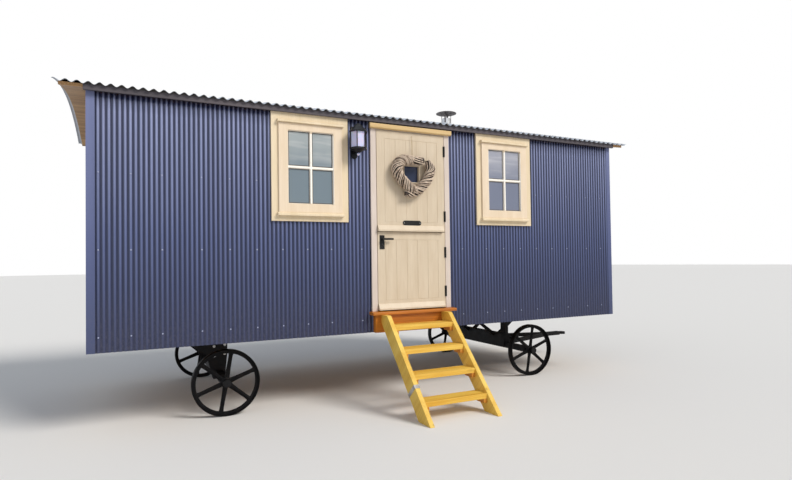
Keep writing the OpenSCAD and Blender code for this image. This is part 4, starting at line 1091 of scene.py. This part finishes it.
@dataclass
class RoofSheets(Assembly):
    """Curved corrugated sheets from eave to eave, lapped along the hut, with washered screws."""

    pitch: float = 76.2 * MM
    depth: float = 21 * MM
    gauge: float = 0.9 * MM
    crest_at: float = 42 * MM
    lap_waves: int = 8
    steps: int = 12
    around: int = 40
    screw_arcs: tuple[float, ...] = (-1.19, -0.62, 0.0, 0.62, 1.19)
    screw_crests: Sequence[int] = range(-39, 39, 3)
    screw_size: tuple[float, float] = (10 * MM, 5 * MM)
    screw_clear: float = 30 * MM
    lap_drop: float = 0.6
    side_lap: float = 1.02
    nested: float = 0.98
    shortest: float = 20 * MM
    board: float = 20 * MM
    filler_back: float = 0.5 * MM
    filler_foot: float = 4 * MM
    filler_gap: float = 1.2 * MM

    def lift(self, x: np.ndarray) -> np.ndarray:
        """Height of the wave over its troughs: half the depth times one plus a cosine along the hut."""
        past = x - self.hut.middle[0] - self.crest_at
        return self.depth * self.nested * 0.5 * (1.0 + np.cos(2.0 * np.pi * past / self.pitch))

    def build(self) -> None:
        """A point is (x, radius sin a, radius cos a), with the radius lifted by the wave along x."""
        low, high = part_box("roof_sheets")
        start, end_x = low[0] + 1 * MM, high[0] - 1 * MM
        base = self.hut.roof_radius + self.hut.deck + self.gauge
        half = math.asin(((high[1] - low[1]) / 2 - 2 * MM) / (base + self.depth))
        angle = np.linspace(-half, half, self.around + 1)
        cover = self.lap_waves * self.pitch
        parts = []
        for number, begin in enumerate(np.arange(start, end_x - self.shortest, cover)):
            end = min(begin + cover + self.side_lap * self.pitch, end_x)
            along = np.append(np.arange(begin, end - 1e-6, self.pitch / self.steps), end)
            radius = (base + self.lift(along) - self.lap_drop * self.gauge * (number % 2))[None]
            parts.append(self.rolled(along, angle, radius))
        made = self.piece(joined(parts), "curved_roof_sheets", "hut", Finishes.zinc,
                          "galvanised_sheet", closed=False)
        self.thicken(made, self.gauge)
        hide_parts("roof_sheets")
        first = self.hut.middle[0] + self.crest_at
        crests = first + self.pitch * np.array(self.screw_crests)
        crests = crests[(crests > start + self.screw_clear) & (crests < end_x - self.screw_clear)]
        x, arc = np.meshgrid(crests, np.array(self.screw_arcs) / base)
        reach = base + self.depth * self.nested - 1 * MM
        normals = np.stack([0 * arc, np.sin(arc), np.cos(arc)], -1).reshape(-1, 3)
        places = np.stack([x.ravel(), self.hut.middle[1] + reach * normals[:, 1],
                           self.hut.roof_centre + reach * normals[:, 2]], -1)
        heads = copies(screw_head(*self.screw_size), places, bases_for(normals))
        self.piece(heads, "roof_screws", "hut", Finishes.bolt, "galvanised_sheet")
        self.fillers(base)

    def rolled(self, x: np.ndarray, angle: np.ndarray, radius: np.ndarray) -> Shape:
        """Bends a strip over the roof's circle, its faces towards the sky.

        Args:
            x: places along the hut.
            angle: angles from the ridge, towards the back.
            radius: the sheet's radius at each x.

        Returns:
            The strip.
        """
        a, along = np.meshgrid(angle, x, indexing="ij")
        r = np.broadcast_to(radius, a.shape)
        y = self.hut.middle[1] + r * np.sin(a)
        z = self.hut.roof_centre + r * np.cos(a)
        return grid(np.stack([along, y, z], -1)[:, ::-1])

    def fillers(self, base: float) -> None:
        """Closes the waves over each fascia: a strip whose top follows the underside of the sheet.

        Args:
            base: radius of the sheet's troughs.
        """
        low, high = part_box("eaves_fascias")
        x = np.arange(low[0], high[0], self.pitch / self.steps)
        strips = []
        for side, face in ((-1.0, low[1]), (1.0, high[1])):
            ys = np.array([face - side * self.filler_back, face - side * (self.board - 1 * MM)])
            foot = self.hut.arc(ys, base - self.gauge) - self.filler_foot
            reach = base + self.lift(x) - self.filler_gap
            head = [self.hut.roof_centre + np.sqrt(reach ** 2 - (y - self.hut.middle[1]) ** 2)
                    for y in ys]
            rows = [(ys[0], np.full(len(x), foot[0])), (ys[0], head[0]), (ys[1], head[1]),
                    (ys[1], np.full(len(x), foot[1]))]
            ring = np.stack([np.stack([x, np.full(len(x), y), z], -1) for y, z in rows])
            caps = [np.repeat(ring[:, k:k + 1].mean(axis=0, keepdims=True), 4, axis=0)
                    for k in (0, len(x) - 1)]
            strips.append(grid(np.concatenate([caps[0], ring, caps[1]], axis=1), wrap_rows=True))
        self.piece(joined(strips), "eave_wave_fillers", "hut", Finishes.filler, "charcoal_board",
                   smooth=False)


# ---- windows and door ----------------------------------------------------------------


@dataclass
class Window(Assembly):
    """Four-paned casement: glazing beads in front of the glass, and dark spacers behind them, partly the
    real spacer bar and partly painted shade.
    """

    side: str = "left"
    stile: float = 87 * MM
    top_rail: float = 64 * MM
    low_rail: float = 80 * MM
    bar: float = 18 * MM
    bead: float = 4 * MM
    glass_in: float = 22 * MM

    def panes(self) -> list[tuple[tuple[float, float], tuple[float, float]]]:
        """Finds the panes between the stiles, rails and bars of the sash.

        Returns:
            The lowest and the highest X and Z of each of the four panes.
        """
        low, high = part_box(f"{self.side}_window_sash")
        x = (low[0] + self.stile, (low[0] + high[0]) / 2, high[0] - self.stile)
        z0, z3 = low[2] + self.low_rail, high[2] - self.top_rail
        z = (z0, (z0 + z3) / 2, z3)
        half = self.bar / 2
        return [((x[i] + (half if i else 0), z[k] + (half if k else 0)),
                 (x[i + 1] - (0 if i else half), z[k + 1] - (0 if k else half)))
                for i in (0, 1) for k in (0, 1)]

    def build(self) -> None:
        """Carries a quarter-round bead and a flat dark spacer strip round each pane; the strip is partly the
        real spacer bar, partly painted shade at the pane's edge.
        """
        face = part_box(f"{self.side}_window_sash")[0][1]
        glass = face + self.glass_in
        b = self.bead
        quarter = [(0.0, 0.5 * MM), (0.0, b), (0.35 * b, 0.95 * b), (0.7 * b, 0.72 * b),
                   (0.93 * b, 0.38 * b), (b, 0.5 * MM)]
        # The spacer strip is dark: partly the real spacer bar, partly painted shade at the pane's edge.
        strip = [(b, 0.3 * MM), (b, 1.6 * MM), (b + 7 * MM, 1.6 * MM), (b + 7 * MM, 0.3 * MM)]
        for profile, name, finish, slot in (
                (quarter, "glazing_beads", Finishes.bead, "cream_joinery"),
                (strip, "dark_spacers_painted_shade", Finishes.spacer, "window_glass")):
            shape = joined([frame_round(p, q, glass, profile) for p, q in self.panes()])
            self.piece(shape, f"{self.side}_{name}", "hut", finish, slot, smooth=False)


@dataclass
class StableDoor(Assembly):
    """Fittings of the two leaves: pane bead, plate screws and key plate."""

    bead: float = 14 * MM
    screw_size: tuple[float, float] = (4 * MM, 2 * MM)
    plate_inset: float = 14 * MM
    handle_inset: float = 12 * MM
    key_up: float = 42 * MM

    def screws(self, places: Sequence[tuple]) -> Shape:
        """Sets round screw heads that face the front at the given places."""
        out = np.tile([0.0, -1.0, 0.0], (len(places), 1))
        return copies(screw_head(*self.screw_size, 12), np.array(places), bases_for(out))

    def build(self) -> None:
        """Each fitting stands on the face of the leaf or plate behind it."""
        low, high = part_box("upper_door_pane")
        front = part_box("door_frame")[0][1]
        b = self.bead
        profile = [(-b, 2.0 * MM), (-b, 6 * MM), (-0.6 * b, 9 * MM), (-0.2 * b, 8 * MM),
                   (0.0, 4 * MM), (0.0, 2.0 * MM)]
        self.piece(frame_round((low[0], low[2]), (high[0], high[2]), front, profile),
                   "door_pane_bead", "upper_door", Finishes.leaf, "cream_joinery", smooth=False)
        low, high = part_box("name_plate")
        z = middle_of((low, high))[2]
        self.piece(self.screws([(low[0] + self.plate_inset, low[1], z),
                                (high[0] - self.plate_inset, low[1], z)]),
                   "name_plate_screws", "upper_door", Finishes.bolt, "black_iron")
        low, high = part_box("handle_plate")
        x = middle_of((low, high))[0]
        key = lathe([(0.0, 3 * MM), (9 * MM, 3 * MM), (11 * MM, 0.0)], 24).turned(bases_for([[0, -1, 0]])[0])
        fixings = joined([self.screws([(x, low[1], low[2] + self.handle_inset),
                                       (x, low[1], high[2] - self.handle_inset)]),
                          key.moved((x, low[1], low[2] + self.key_up))])
        self.piece(fixings, "handle_plate_fixings", "lower_door", Finishes.iron, "black_iron")


# ---- wreath ------------------------------------------------------------------------


@dataclass
class HeartWreath(Assembly):
    """Willow rods wound into a leaning heart: a long left arm, a right arm and a tail of cut ends.

    Both middle lines are places in millimetres from the door's middle and the left lobe's
    level. A girth is a share of the body at a place from 0 to 1 along the arm; a winding is
    the number of turns made up to there.
    """

    left_line: Pairs = (
        (118, 70), (40, 62), (-60, 64), (-123, 62), (-172, 34), (-192, -25), (-179, -76),
        (-133, -137), (-79, -186), (-20, -232), (26, -258))
    right_line: Pairs = (
        (148, 80), (164, 52), (186, -4), (186, -46), (154, -116), (104, -178), (46, -226),
        (-10, -256), (-62, -268), (-116, -270))
    left_girth: Pairs = ((0.0, 0.74), (0.1, 0.9), (0.25, 1.0), (0.45, 1.06), (1.0, 1.0))
    right_girth: Pairs = ((0.0, 0.56), (0.1, 0.86), (0.2, 1.0), (0.74, 1.0), (0.86, 0.7), (1.0, 0.6))
    left_winding: Pairs = ((0.0, 0.0), (0.2, 0.12), (0.4, 0.9), (1.0, 2.7))
    right_winding: Pairs = ((0.0, 0.0), (0.2, 0.12), (1.0, 1.8))
    left_ends: tuple[float, float] = (0.07, 0.05)
    right_ends: tuple[float, float] = (0.05, 0.08)
    body: float = 55 * MM
    lobe_level: float = 124 * MM
    rods: int = 24
    steps: int = 130
    rod_radius: float = 5.4 * MM
    rod_girth: tuple[float, float] = (0.78, 1.12)
    # Painted shade: the rods sunk under the pale ones take dark tones, for the shade between the rods.
    painted_shade_tone: tuple[float, float] = (-0.3, 0.05)
    pale_tone: tuple[float, float] = (0.62, 1.15)
    sunk: float = 0.80
    dip: float = 0.04
    wander: float = 0.03
    ripples: tuple[float, float] = (2.0, 5.0)
    scatter: float = 0.3
    drift: float = 0.35
    flatness: float = 0.96
    core: float = 0.66
    # Painted shade: the core is dark, for the shade inside the bundle.
    core_painted_shade_tone: float = -0.3
    smoothing: float = 50 * MM
    seed: int = 11
    strand: float = 1.3 * MM
    strand_feet: tuple[float, float] = (-9 * MM, 5 * MM)
    sway: float = 1.5 * MM
    nail_down: float = 3 * MM
    tuck: float = 8 * MM

    def route(self, corners: Pairs, count: int = 240) -> np.ndarray:
        """Spreads points evenly along a line through corners and smooths it over 50 mm.

        Each point is the weighted mean of its neighbours, with a bell of cosine shape as weights.

        Args:
            corners: X and Z of the corners, in millimetres.
            count: number of points.

        Returns:
            X and Z of each point.
        """
        corners = np.asarray(corners, float) * MM
        run = np.concatenate([[0.0], np.cumsum(np.linalg.norm(np.diff(corners, axis=0), axis=1))])
        even = np.linspace(0.0, run[-1], count)
        line = np.stack([np.interp(even, run, corners[:, k]) for k in (0, 1)], -1)
        width = int(round(self.smoothing / (run[-1] / count))) | 1
        padded = np.concatenate([2 * line[:1] - line[width:0:-1], line,
                                 2 * line[-1:] - line[-2:-width - 2:-1]])
        kernel = np.hanning(width + 2)[1:-1]
        kernel /= kernel.sum()
        smooth = np.stack([np.convolve(padded[:, k], kernel, "same") for k in (0, 1)], -1)
        return smooth[width:-width]

    def arm(self, line: np.ndarray, girth: Pairs, winding: Pairs, spread: tuple[float, float],
            rng: np.random.Generator) -> Shape:
        """Winds one arm: pale rods outside, dark ones between and under them, round a dark core; the dark
        rods and core are painted shade.

        A rod's place is the middle line plus a turn about it, with a sine's ripple in its
        distance. Pale and dark rods take turns, the dark ones sunk under the pale.

        Args:
            line: the arm's middle line as X and Z.
            girth: places along the arm from 0 to 1 with the bundle's radius there, as shares
                of the body.
            winding: places along the arm with the turns made up to there.
            spread: how far apart the rods' first and last ends lie, as shares of the arm.
            rng: the seeded source of small differences.

        Returns:
            The arm's rods and core, each with its own tone.
        """
        n = self.rods
        place = np.linspace(0.0, 1.0, len(line))
        share = np.linspace(0.0, 1.0, self.steps)
        first = rng.uniform(0.0, spread[0], n)
        last = 1.0 - rng.uniform(0.0, spread[1], n)
        t = first[:, None] + (last - first)[:, None] * share
        slope = np.gradient(line, axis=0)
        slope /= np.linalg.norm(slope, axis=1, keepdims=True)
        x, z, dx, dz = (np.interp(t, place, v) for v in (line[:, 0], line[:, 1], slope[:, 0], slope[:, 1]))
        sizes = [(spot, share_of * self.body) for spot, share_of in girth]
        radius = np.interp(t, *zip(*sizes))
        under = np.arange(n) % 2 == 1
        deep = np.where(under, self.sunk, 1.0) - rng.uniform(0.0, self.dip, n)
        ripples, phase = rng.uniform(*self.ripples, n), rng.uniform(0, 1, n)
        waves = np.sin(2 * np.pi * (ripples[:, None] * t + phase[:, None]))
        away = (radius - self.rod_radius) * (deep[:, None] - self.wander * (1.0 + waves))
        start = (np.arange(n) + rng.uniform(-self.scatter, self.scatter, n)) / n * 2 * np.pi
        turn = start[:, None] + 2 * np.pi * np.interp(t, *zip(*winding))
        turn += rng.uniform(-self.drift, self.drift, n)[:, None] * t
        out = away * np.cos(turn)
        paths = np.stack([x + dz * out, self.flatness * away * np.sin(turn), z - dx * out], -1)
        taper = np.clip(np.minimum(share, 1 - share) * 16, 0.72, 1.0)
        radii = self.rod_radius * rng.uniform(*self.rod_girth, n)[:, None] * taper
        rods = tubes(paths, radii, 6, (0.0, 0.0, 1.0))
        # Painted shade: the sunk rods take the dark tones.
        tone = np.where(under, rng.uniform(*self.painted_shade_tone, n), rng.uniform(*self.pale_tone, n))
        rods.tone = np.repeat(tone, len(rods.points) // n)
        middle = np.stack([line[:, 0], 0 * place, line[:, 1]], -1)[None, 4:-4:4]
        core = tubes(middle, self.core * np.interp(place, *zip(*sizes))[None, 4:-4:4], 10,
                     (0.0, 1.0, 0.0))
        core.tone = np.full(len(core.points), self.core_painted_shade_tone)
        return joined([rods, core])

    def build(self) -> None:
        """Winds both arms and sets them where the solid heart is."""
        low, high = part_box("heart_wreath")
        x, y = middle_of(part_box("upper_door_pane"))[0], middle_of((low, high))[1]
        rng = np.random.default_rng(self.seed)
        left = self.arm(self.route(self.left_line), self.left_girth, self.left_winding,
                        self.left_ends, rng)
        right = self.arm(self.route(self.right_line), self.right_girth, self.right_winding,
                         self.right_ends, rng)
        shape = joined([left, right]).moved((x, y, high[2] - self.lobe_level))
        shape.points = np.clip(shape.points, low, high)
        made = self.piece(shape, "wound_willow_heart", "upper_door", Finishes.willow, "willow")
        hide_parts("heart_wreath")
        self.string(x)

    def string(self, x: float) -> None:
        """Hangs the heart: a nail in the leaf and two thin strands of twine down to the rods.

        Each strand is a straight drop with half a sine's sway of 1.5 mm.

        Args:
            x: the nail's place along the hut.
        """
        low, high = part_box("wreath_twine")
        nail = lathe([(0.0, 25 * MM), (4 * MM, 24.5 * MM), (4 * MM, 23 * MM), (1.5 * MM, 22.5 * MM),
                      (1.5 * MM, 0.0)], 12, "Y").moved((x, high[1], high[2] - self.nail_down))
        drop = np.linspace(0.0, 1.0, 12)[None, :]
        foot = np.array(self.strand_feet)[:, None]
        sway = self.sway * np.sin(np.pi * drop)
        length = high[2] - low[2] + self.tuck
        paths = np.stack([x + foot * drop + sway, high[1] - 18 * MM - 6 * MM * drop + 0 * foot,
                          high[2] - self.nail_down - length * drop + 0 * foot], -1)
        strands = tubes(paths, np.full(paths.shape[:2], self.strand), 6, (0.0, 1.0, 0.0))
        twine = self.piece(joined([nail, strands]), "wreath_string", "upper_door", Finishes.twine,
                           "twine")
        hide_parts("wreath_twine")


# ---- wheels and undercarriage ----------------------------------------------------------


@dataclass
class Wheel(Assembly):
    """Cast wheel: flanged rim, six tapered spokes with a rib, and a turned, bored hub."""

    node: str = "front_left_wheel"
    body: str = "wheel_front_left"
    radius: float = 293 * MM
    rim_width: float = 70 * MM
    rim_depth: float = 38 * MM
    hub: float = 42 * MM
    hub_length: float = 110 * MM
    bore: float = 24.3 * MM
    spokes: int = 6
    first: float = math.radians(20)
    edge: float = 0.8 * MM

    def rim(self) -> Shape:
        """Turns the rim's closed section: a crowned tread, rounded edges and a web inside.

        Returns:
            The rim about the axle's line.
        """
        r, w, d = self.radius, self.rim_width / 2, self.rim_depth
        half = [(r, w * 0.5), (r - 1.2 * MM, w - 3 * MM), (r - 4 * MM, w), (r - 9 * MM, w),
                (r - 12 * MM, w - 4 * MM), (r - 13 * MM, 9 * MM), (r - d + 2 * MM, 7 * MM),
                (r - d, 4 * MM)]
        return lathe(mirrored(half), 96, "Y")

    def hub_shape(self) -> Shape:
        """Turns the hub: a bored barrel with a flange for the spokes and collars at its ends.

        Returns:
            The hub about the axle's line.
        """
        h, half, b = self.hub, self.hub_length / 2, self.bore
        section = [(h + 6 * MM, 9 * MM), (h + 3 * MM, 14 * MM), (h * 0.84, 18 * MM),
                   (h * 0.78, half - 16 * MM), (h * 0.86, half - 12 * MM), (h * 0.86, half - 3 * MM),
                   (h * 0.80, half), (b, half)]
        return lathe(mirrored(section), 64, "Y")

    def spoke(self) -> Shape:
        """Carries a cross-shaped casting section from the hub out to the rim.

        The half width falls from 22 to 17 mm and flares by a falling power of e where it
        joins; the section is a flat oval with a rib on each side.

        Returns:
            The spoke along +X.
        """
        along = np.linspace(0.0, 1.0, 17)
        reach = (self.hub - 2 * MM) + along * (self.radius - self.rim_depth + 4 * MM - self.hub + 2 * MM)
        flare = 2 * MM * np.exp(-along * 9) + 7 * MM * np.exp(-(1 - along) * 12)
        wide = (22 - 5 * along) * MM + flare
        thick = 5.5 * MM + 2.5 * MM * np.exp(-along * 6) + 2 * MM * np.exp(-(1 - along) * 9)
        rib = 14 * MM - 4 * MM * along
        section = np.array([(-1, 0.0), (-0.86, 0.8), (-0.3, 1.0), (-0.18, 2.0), (0.0, 2.3),
                            (0.18, 2.0), (0.3, 1.0), (0.86, 0.8), (1, 0.0), (0.86, -0.8),
                            (0.3, -1.0), (0.18, -2.0), (0.0, -2.3), (-0.18, -2.0), (-0.3, -1.0),
                            (-0.86, -0.8)])
        across = section[None, :, 0] * wide[:, None]
        deep = np.where(np.abs(section[None, :, 1]) > 1.5,
                        np.sign(section[None, :, 1]) * rib[:, None], section[None, :, 1] * thick[:, None])
        rings = np.stack([np.broadcast_to(reach[:, None], across.shape), deep, across], -1)
        caps = [rings[:1] * [1, 0, 0], rings[-1:] * [1, 0, 0]]
        return grid(np.concatenate([caps[0], rings, caps[1]]), wrap_columns=True)

    def build(self) -> None:
        """Sets the casting where the solid wheel is."""
        arm = self.spoke()
        turns = [self.first + k * 2 * math.pi / self.spokes for k in range(self.spokes)]
        arms = [arm.turned(np.array([[math.cos(a), 0, -math.sin(a)], [0, 1, 0],
                                     [math.sin(a), 0, math.cos(a)]])) for a in turns]
        middle = middle_of(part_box(self.node))
        shape = joined([self.rim(), self.hub_shape()] + arms).moved(middle)
        made = self.piece(shape, f"{self.node}_casting", self.body, Finishes.wheel, "wheel_iron")
        self.soften(made, self.edge, 1, 50)
        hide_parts(self.node)


@dataclass
class Undercarriage(Assembly):
    """Bright bolts on the outer faces of the fixed axle's bracket plates."""

    bolt: float = 13 * MM
    spots: Pairs = ((-0.042, 0.556), (0.057, 0.566), (-0.040, 0.466), (0.055, 0.480))

    def bolt_head(self) -> Shape:
        """Sets a six-sided head over a washer.

        Returns:
            The bolt's head, standing on Z = 0.
        """
        head = lathe([(0.0, 9 * MM), (self.bolt * 0.72, 9 * MM), (self.bolt * 0.78, 7.5 * MM),
                      (self.bolt * 0.78, 2.5 * MM)], 6)
        washer = lathe([(0.0, 2.6 * MM), (self.bolt, 2.6 * MM), (self.bolt, -1 * MM)], 18)
        return joined([head, washer])

    def build(self) -> None:
        """Sets four bolts on each outer bracket plate, from the axle's line and the floor."""
        low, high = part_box("fixed_axle_brackets")
        x = middle_of(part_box("fixed_axle"))[0]
        places = [(x + dx, y, z) for y in (low[1], high[1]) for dx, z in self.spots]
        normals = np.repeat([[0, -1, 0], [0, 1, 0]], len(self.spots), axis=0)
        self.piece(copies(self.bolt_head(), np.array(places), bases_for(normals)), "bracket_bolts",
                   "hut", Finishes.bolt, "black_steel", smooth=False)


# ---- the CAD nodes that stay -----------------------------------------------------------


@dataclass
class Joinery(Assembly):
    """Finishes for the solids that stay, with small rounded edges where a plane or file left them."""

    rounded: dict[str, float] = field(default_factory=lambda: {
        "left_window_frame": 2.0, "right_window_frame": 2.0, "left_window_sash": 2.5,
        "right_window_sash": 2.5, "door_frame": 2.0, "door_hood": 2.0, "door_sill": 2.0,
        "sill_apron": 2.0, "upper_door_leaf": 1.2, "lower_door_leaf": 1.2,
        "step_stringers": 3.0, "step_treads": 4.0, "step_cleats": 4.0, "eaves_fascias": 2.0,
        "name_plate": 1.2, "handle_plate": 1.2, "lantern_body": 1.0})

    def build(self) -> None:
        """Dresses each node by its slot and rounds the edges of those that need it."""
        slots = {sub["node"]: sub["material_slot"] for sub in frame["record"]["subparts"]}
        for name, node in frame["nodes"].items():
            finish = Finishes.by_node.get(name, Finishes.by_slot[slots[name]])
            node.data.materials.clear()
            node.data.materials.append(finish.material())
            if name in self.rounded:
                weld = node.modifiers.new("merged", "WELD")
                weld.merge_threshold = WELD
                self.soften(node, self.rounded[name] * MM)
            LOG.info("%s dressed in %s", name, finish.name)


# ---- studio ----------------------------------------------------------------------------


@dataclass
class Studio:
    """Camera at the photograph's place, a pale floor and soft light."""

    hut: Hut
    focal_pixels: float = 540.1
    yaw: float = math.radians(26.26)
    pitch: float = math.radians(1.19)
    roll: float = math.radians(-0.80)
    place: Triple = (-2.499, -5.924, 1.345)
    centre_row: float = 250.1
    size: tuple[int, int] = (792, 480)
    sensor: float = 36.0
    sight: float = 400.0
    floor_reach: float = 90.0
    lamps: tuple = (("key", 2.6, 24.0, (-0.44, 0.62, -0.60), "fffaf3"),
                    ("fill", 0.2, 60.0, (0.8, 0.5, -0.5), "eef3ff"))
    sky: float = 0.46
    mirrored_sky: tuple[float, float] = (1.5, 0.12)

    def camera(self) -> None:
        """Points the camera by yaw, pitch and roll from its place beside the hut's middle."""
        data = bpy.data.cameras.new("camera")
        data.sensor_fit = "HORIZONTAL"
        data.sensor_width = self.sensor
        data.lens = self.focal_pixels * data.sensor_width / self.size[0]
        data.shift_y = (self.centre_row - self.size[1] / 2) / self.size[0]
        data.clip_end = self.sight
        ahead = Vector((math.sin(self.yaw) * math.cos(self.pitch),
                        math.cos(self.yaw) * math.cos(self.pitch), math.sin(self.pitch)))
        right = Vector((math.cos(self.yaw), -math.sin(self.yaw), 0.0))
        up = right.cross(ahead)
        side = math.cos(self.roll) * right + math.sin(self.roll) * up
        top = math.cos(self.roll) * up - math.sin(self.roll) * right
        camera = stand("camera", data)
        matrix = Matrix((side, top, -ahead)).transposed().to_4x4()
        matrix.translation = Vector(self.place) + Vector((*self.hut.middle, 0.0))
        camera.matrix_world = matrix
        bpy.context.scene.camera = camera

    def lamp(self, name: str, strength: float, spread: float, towards: Sequence[float],
             colour: str) -> None:
        """Adds a wide, soft sun that shines along a direction.

        Args:
            name: the lamp's name.
            strength: its power in watts a square metre.
            spread: the sun's width in degrees.
            towards: the direction of its light.
            colour: its colour in hex.
        """
        data = bpy.data.lights.new(name, "SUN")
        data.energy = strength
        data.angle = math.radians(spread)
        data.color = linear(colour)[:3]
        stand(name, data).rotation_euler = Vector(towards).to_track_quat("-Z", "Y").to_euler()

    def world(self) -> None:
        """White to the camera, a soft grey sky for light, and a bright left side for reflections."""
        world = bpy.data.worlds.new("studio")
        bpy.context.scene.world = world
        world.use_nodes = True
        tree = world.node_tree
        tree.nodes.clear()
        rays = add(tree, "ShaderNodeLightPath").outputs
        soft = add(tree, "ShaderNodeBackground", {"Color": linear("e8eef6")})
        sky = Brush(tree, soft, add(tree, "ShaderNodeTexCoord").outputs["Generated"])
        seen = sky.calc("MAXIMUM", rays["Is Camera Ray"], rays["Is Transmission Ray"])
        bright = sky.span(sky.part(0), -0.2, 0.7, *self.mirrored_sky)
        level = add(tree, "ShaderNodeMix", {0: rays["Is Glossy Ray"], 2: self.sky, 3: bright},
                    data_type="FLOAT").outputs[0]
        sky.feed({"Strength": level})
        plain = add(tree, "ShaderNodeBackground", {"Color": linear("ffffff"), "Strength": 1.0})
        mixed = add(tree, "ShaderNodeMixShader", {0: seen, 1: soft.outputs[0], 2: plain.outputs[0]})
        add(tree, "ShaderNodeOutputWorld", {"Surface": mixed.outputs[0]})

    def floor(self) -> None:
        """Lays a pale matt floor far beyond the hut."""
        r = self.floor_reach
        mesh = bpy.data.meshes.new("studio_floor")
        mesh.from_pydata([(-r, -r, 0), (r, -r, 0), (r, r, 0), (-r, r, 0)], [], [(0, 1, 2, 3)])
        floor = stand("studio_floor", mesh)
        material = bpy.data.materials.new("pale_studio_floor")
        material.use_nodes = True
        shader = material.node_tree.nodes["Principled BSDF"]
        shader.inputs["Base Color"].default_value = linear("e9e8e6")
        shader.inputs["Roughness"].default_value = 0.9
        mesh.materials.append(material)

    def build(self) -> None:
        """Sets the view, the light and the floor."""
        self.camera()
        self.world()
        self.floor()
        for lamp in self.lamps:
            self.lamp(*lamp)
        bpy.context.scene.view_settings.view_transform = "Standard"


def main() -> None:
    """Builds the hut's assemblies in order."""
    logging.basicConfig(level=logging.INFO, format="%(name)s %(message)s")
    hut = Hut.measured()
    Studio(hut).build()
    Joinery(hut).build()
    WallSheets(hut).build()
    RoofSheets(hut).build()
    for side in ("left", "right"):
        Window(hut, side=side).build()
    StableDoor(hut).build()
    HeartWreath(hut).build()
    for end, place in (("front", "left"), ("back", "left"), ("front", "right"), ("back", "right")):
        Wheel(hut, node=f"{end}_{place}_wheel", body=f"wheel_{end}_{place}").build()
    Undercarriage(hut).build()


if __name__ == "__main__":
    main()
